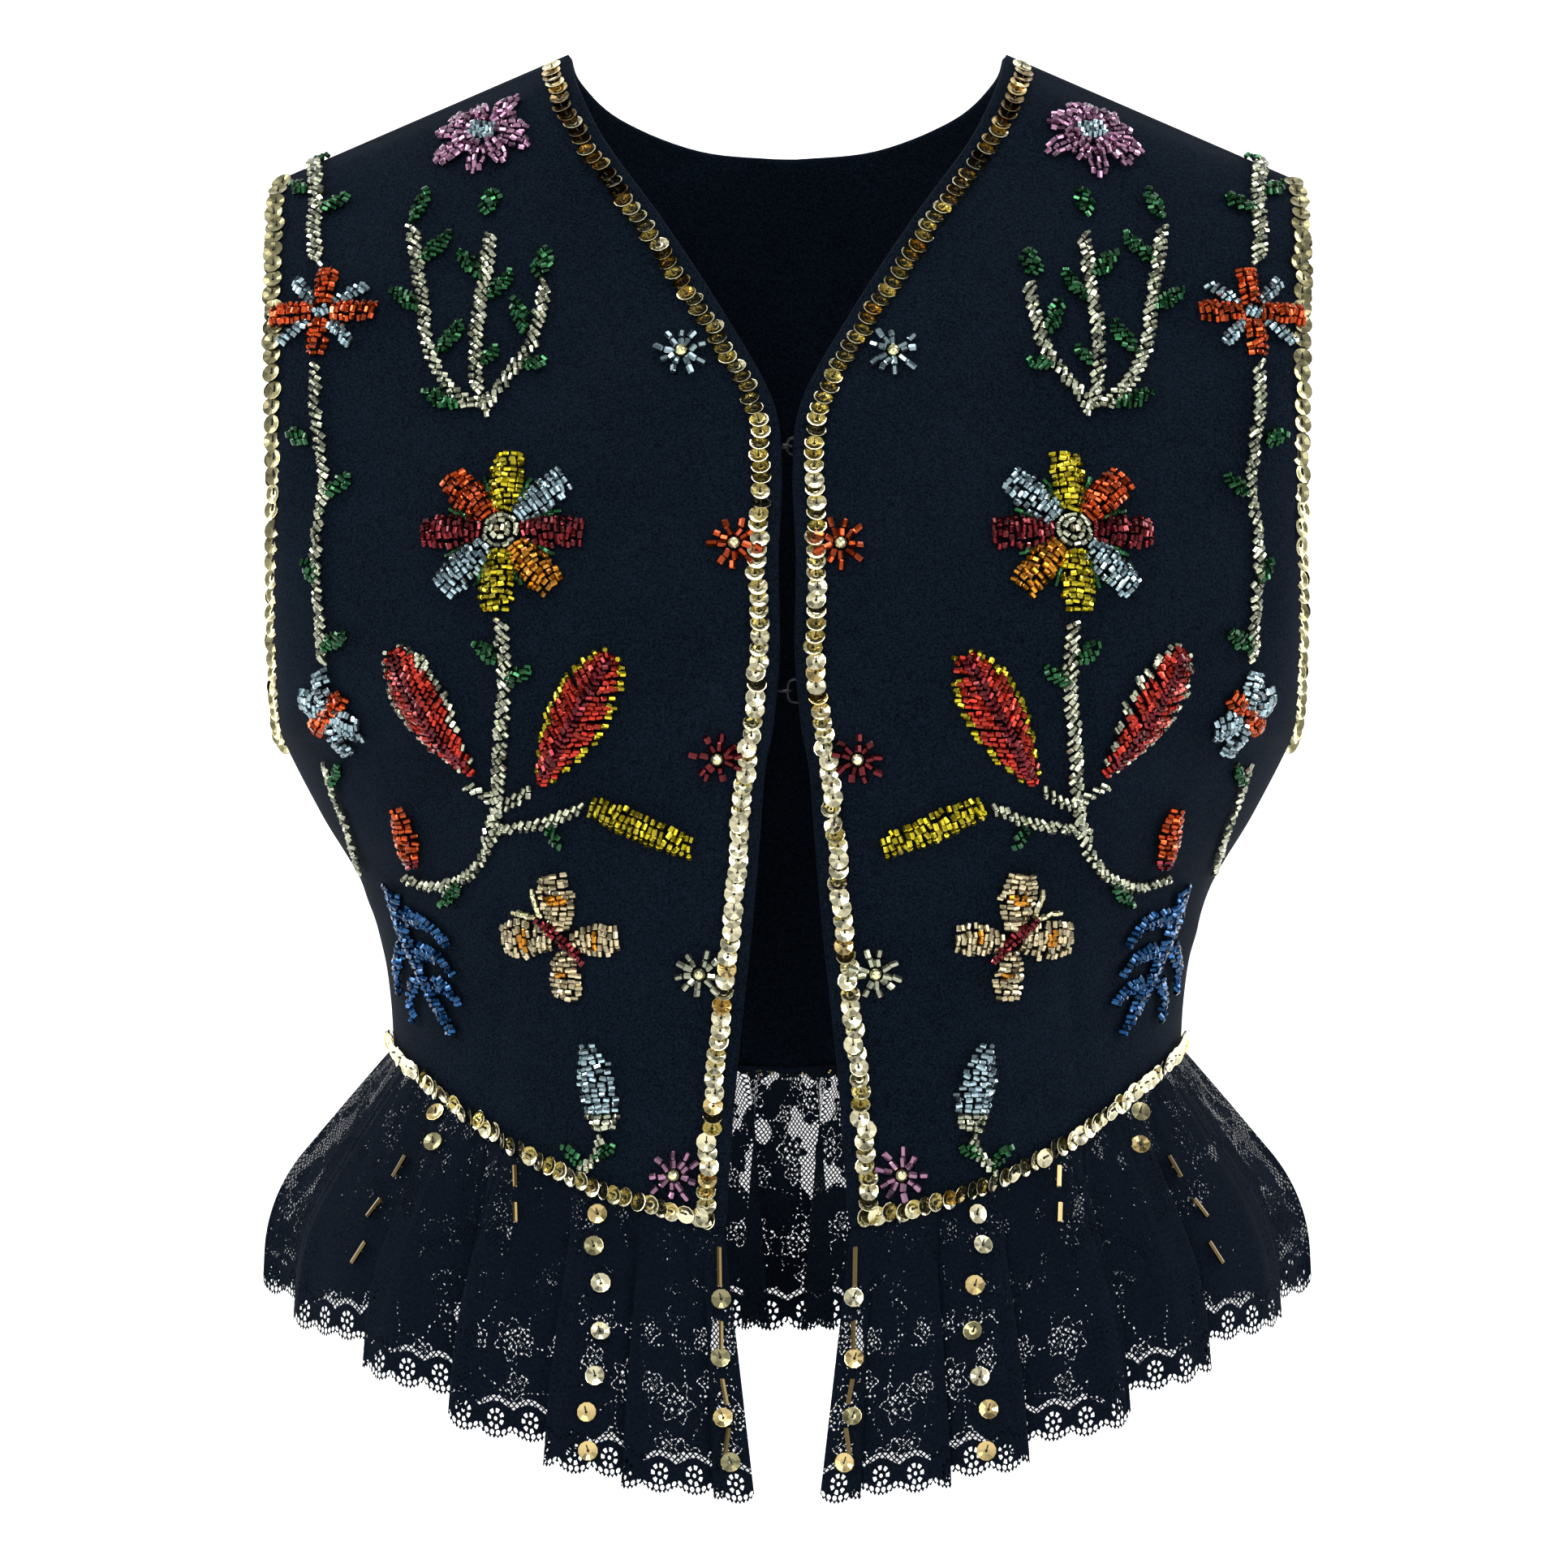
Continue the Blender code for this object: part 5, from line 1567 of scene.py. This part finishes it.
class VEST_OT_sequins(bpy.types.Operator):
    """Sews the sequins on the edges, and the sequins and bugles on the lace"""

    bl_idname = "vest.sequins"
    bl_label = "Sequins and bugles"

    def execute(self, context):
        settings = context.scene.vest_sequins
        materials = sequin_materials()
        cup = ((0.075, 0.000), (0.20, 0.004), (0.47, 0.070), (0.5, 0.074), (0.497, 0.086),
               (0.46, 0.082), (0.20, 0.016), (0.075, 0.012))
        form = turned_template("sequin form", 12, cup, closed=False)
        tree = sewing_tree("Sequins in rows", form, materials)
        stitch = turned_template("stitch form", 5, ((0.5, -0.5), (0.5, 0.5)))
        stitch_tree = sewing_tree("Stitches", stitch, materials)
        bugle = turned_template("bugle form", 6, (
            (0.42, -0.5), (0.5, -0.48), (0.5, 0.48), (0.42, 0.5)))
        bugle_tree = sewing_tree("Bugles in columns", bugle, materials)

        def sew_rows(name, rows, sign):
            """The sequins and the stitches of some rows as two pieces."""
            sequins = [sequin for sequin, _ in rows]
            hand_over(sewn(f"sequins_{name}", sequins, tree, settings.diameter, settings.diameter,
                           sign))
            threads = [thread_bead(sequin, along) for sequin, along in rows]
            hand_over(sewn(f"stitches_{name}", threads, stitch_tree, STITCH_LENGTH, STITCH_WIDTH,
                           sign))

        for side, sign in SIDES.items():
            rng = np.random.default_rng(SEED + sign)
            surface = surface_of(front_cloth(side)[0])
            sew_rows(f"front_{side}", self.rows_of(surface, settings, rng, False), sign)
            surface = surface_of(cloth_grid(BACK, BACK_CREASES, *BACK_GRID, sign)[0])
            sew_rows(f"back_{side}", self.rows_of(surface, settings, rng, True), sign)
            single, bars = self.lace_work(sign, rng)
            sew_rows(f"lace_{side}", single, sign)
            hand_over(sewn(f"bugles_{side}", bars, bugle_tree, BUGLE_LENGTH, BUGLE_WIDTH, sign))
        for hidden in (form, stitch, bugle):
            bpy.data.objects.remove(hidden)
        return {"FINISHED"}

    def rows_of(self, surface, settings, rng, back):
        """Every sequin of one half: along the neck and front edge, the armhole and the hem. The
        tilts change along the rows as on the real ones. A few sequins are amber at random, and more
        towards the top of the neck as painted reflection; near its top some are bronze as painted
        shade."""
        points = surface.points
        at = np.linspace(0, (len(BACK) if back else len(FRONT)) - 1, len(points))
        facing_y = 1 if back else -1
        found = []
        neck = points[at <= BACK_JOINED_ROW, 0] if back else points[:, 0]
        for point, out, along in edge_row(surface, neck[2:], settings.inset, settings.spacing):
            z = point[2]
            # Painted reflection: amber is chosen more often towards the top of the neck
            amber = rng.uniform() < 0.05 + 0.45 * part_way(z, -0.075, 0.005)
            colour = AMBER if amber else LIGHT_GOLD
            # Painted shade: bronze sequins near the top of the neck
            if rng.uniform() < 0.4 * part_way(z, -0.04, 0.0):
                colour = BRONZE
            tilt = -20 - 4 * part_way(z, -0.12, -0.08) + 24 * part_way(z, -0.015, 0.017)
            loose = 1 - 0.65 * part_way(z, -0.13, -0.09)
            found.append((sequin_bead(point, out, along, tilt, 0.0012, colour, rng, loose), -along))
        armhole = points[(at < SIDE_SEAM_ROW) & (at > 0.1), -1]
        toward = np.array((0, 0.6 * facing_y, 0))
        for point, out, along in edge_row(surface, armhole, ARMHOLE_INSET,
                                          settings.armhole_spacing):
            found.append((sequin_bead(point + toward * 0.0016, unit(out + toward), along, -14,
                                      0.0002, DULL_GOLD, rng, 0.7), -along))
        hem = points[-1, ::-1] if back else points[-1, :0:-1]
        for point, out, along in edge_row(surface, hem, HEM_INSET, settings.spacing):
            colour = AMBER if rng.uniform() < 0.05 else LIGHT_GOLD
            near_seam = part_way(abs(point[0]), 0.08, 0.13)
            toward = np.array((0, 0.5 * facing_y * near_seam, -0.3))
            found.append((sequin_bead(point, unit(out + toward), along, -30 + 18 * near_seam,
                                      0.0013, colour, rng), -along))
        return found

    def lace_work(self, sign, rng):
        """The sequins and the bugles in columns down the lace of one front."""
        rows, _, _ = ruffle(FRONT, FRONT_FOLDS, FRONT_FLARE, SEED + sign)
        surface = surface_of(rows)
        single, bars = [], []

        def on_lace(x, z):
            point, out = seen_at(surface, x / 1000, z / 1000)
            return point, out if out[1] < 0 else -out

        for sequins, bugles in LACE_WORK:
            for x, z in sequins:
                point, out = on_lace(x, z)
                colour = (LIGHT_GOLD, AMBER, DULL_GOLD)[int(rng.uniform() * 3)]
                sequin = sequin_bead(point, unit(out + np.array((0, -0.6, 0.2))),
                                     np.array((0, 0, -1.0)), 0.0, 0.0011, colour, rng)
                single.append((sequin, np.array((0.3, 0, 1.0))))
            for upper, lower in bugles:
                start, out = on_lace(*upper)
                end, _ = on_lace(*lower)
                bars.append(Bead((start + end) / 2 + out * 0.0013, end - start, out,
                                 float(np.linalg.norm(end - start)) / BUGLE_LENGTH, 1.0, BRONZE,
                                 float(rng.uniform(0, 0.6))))
        return single, bars


class VEST_OT_hooks(bpy.types.Operator):
    """Gives the hooks and eyes their enamel"""

    bl_idname = "vest.hooks"
    bl_label = "Hooks and eyes"

    def execute(self, context):
        material, tree, shader = new_material(
            "Black enamelled steel wire, drawn", Metallic=0.55, Roughness=0.32)
        place = add_node(tree, "ShaderNodeTexCoord").outputs["Object"]
        worn = add_node(tree, "ShaderNodeTexNoise", Vector=place, Scale=900.0, Detail=2.0)
        ramp = add_node(tree, "ShaderNodeValToRGB", tones=((0.35, "#0d0e12"), (0.8, "#2b2d34")),
                        Fac=worn.outputs["Fac"])
        tree.links.new(ramp.outputs["Color"], shader.inputs["Base Color"])
        for name in ("hook_upper", "hook_lower", "eye_upper", "eye_lower"):
            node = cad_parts[name]
            node.data.materials.clear()
            node.data.materials.append(material)
        return {"FINISHED"}


class VEST_OT_stage(bpy.types.Operator):
    """Makes the paper sweep, the softboxes and the camera"""

    bl_idname = "vest.stage"
    bl_label = "Stage"

    def execute(self, context):
        settings = context.scene.vest_stage
        material, tree, shader = new_material("White paper sweep", Roughness=0.9)
        place = add_node(tree, "ShaderNodeTexCoord").outputs["Object"]
        grain = add_node(tree, "ShaderNodeTexNoise", Vector=place, Scale=3.0, Detail=2.0)
        shade = tuple(settings.backdrop)
        ramp = add_node(tree, "ShaderNodeValToRGB", tones=(
            (0, (*(c * 0.985 for c in shade), 1)), (1, (*shade, 1))), Fac=grain.outputs["Fac"])
        tree.links.new(ramp.outputs["Color"], shader.inputs["Base Color"])
        profile = [(-3.0, -0.60), (0.6, -0.60)]
        for k in range(1, 16):
            angle = math.pi / 2 * k / 16
            profile.append((0.6 + 0.7 * math.sin(angle), 0.10 - 0.7 * math.cos(angle)))
        profile += [(1.3, 0.10), (1.3, 2.4)]
        points = [(x, y, z) for y, z in profile for x in (-3.0, 3.0)]
        faces = [(2 * k, 2 * k + 1, 2 * k + 3, 2 * k + 2) for k in range(len(profile) - 1)]
        sweep = object_of("paper_sweep", np.array(points), faces, [material], closed=False)
        world = bpy.data.worlds.new("Studio")
        context.scene.world = world
        world.use_nodes = True
        tree = world.node_tree
        # White panels with dark gaps between them, which the glass and the sequins mirror
        place = add_node(tree, "ShaderNodeTexCoord").outputs["Generated"]
        panels = add_node(tree, "ShaderNodeTexNoise", Vector=place, Scale=5.5, Detail=1.0)
        ramp = add_node(tree, "ShaderNodeValToRGB", tones=(
            (0.42, (0.10, 0.11, 0.13, 1)), (0.57, (1, 1, 1, 1))), Fac=panels.outputs["Fac"])
        background = tree.nodes["Background"]
        tree.links.new(ramp.outputs["Color"], background.inputs["Color"])
        background.inputs["Strength"].default_value = 1.1
        # Place, size in metres, watts
        boxes = (
            ("key", (-0.9, -1.5, 0.9), (0.7, 0.7), 10),
            ("fill", (1.2, -1.3, 0.2), (0.7, 1.0), 5),
            ("low", (0.1, -1.4, -0.9), (0.9, 0.3), 3),
            ("top", (0.0, -0.1, 1.3), (1.0, 0.7), 7),
            ("glint", (-0.25, -1.9, 0.35), (0.16, 0.16), 4),
            ("wall_left", (-1.3, 0.3, 0.4), (0.6, 1.4), 20),
            ("wall_right", (1.3, 0.3, 0.4), (0.6, 1.4), 20),
        )
        for name, place, size, watts in boxes:
            data = bpy.data.lights.new(name, "AREA")
            data.shape = "RECTANGLE"
            data.size, data.size_y = size
            data.energy = watts * settings.light
            lamp = bpy.data.objects.new(name, data)
            target = Vector((0, 1.3, 0.1)) if "wall" in name else Vector((0, 0, -0.2))
            lamp.rotation_euler = (target - Vector(place)).to_track_quat("-Z", "Y").to_euler()
            lamp.location = place
            context.scene.collection.objects.link(lamp)
        data = bpy.data.cameras.new("front view")
        data.type = "ORTHO"
        data.ortho_scale = 0.512
        data.clip_start, data.clip_end = 0.1, 10
        camera = bpy.data.objects.new("front_view", data)
        camera.location = (-0.00106, -2.2, -0.2162)
        camera.rotation_euler = (math.pi / 2, 0, 0)
        context.scene.collection.objects.link(camera)
        context.scene.camera = camera
        context.scene.view_settings.view_transform = "Standard"
        return {"FINISHED"}


class VEST_PT_panel(bpy.types.Panel):
    """Lists the steps and the sizes"""

    bl_idname = "VEST_PT_panel"
    bl_label = "Cropped vest"
    bl_space_type = "VIEW_3D"
    bl_region_type = "UI"
    bl_category = "Vest"

    def draw(self, context):
        for operator in OPERATORS:
            self.layout.operator(operator.bl_idname)
        for group in ("vest_cloth", "vest_sequins", "vest_beads", "vest_stage"):
            settings = getattr(context.scene, group)
            for key in settings.bl_rna.properties.keys():
                if key not in ("rna_type", "name"):
                    self.layout.prop(settings, key)


OPERATORS = (VEST_OT_crepe, VEST_OT_lace, VEST_OT_sequins, VEST_OT_beads, VEST_OT_hooks,
             VEST_OT_stage)
GROUPS = {"vest_cloth": VestCloth, "vest_sequins": VestSequins, "vest_beads": VestBeads,
          "vest_stage": VestStage}


def register():
    for made in (*GROUPS.values(), *OPERATORS, VEST_PT_panel):
        bpy.utils.register_class(made)
    for name, group in GROUPS.items():
        setattr(bpy.types.Scene, name, bpy.props.PointerProperty(type=group))


def unregister():
    for name in GROUPS:
        delattr(bpy.types.Scene, name)
    for made in reversed((*GROUPS.values(), *OPERATORS, VEST_PT_panel)):
        bpy.utils.unregister_class(made)


def main():
    register()
    bpy.ops.vest.crepe()
    bpy.ops.vest.lace()
    bpy.ops.vest.sequins()
    bpy.ops.vest.beads()
    bpy.ops.vest.hooks()
    bpy.ops.vest.stage()


if __name__ == "__main__":
    main()
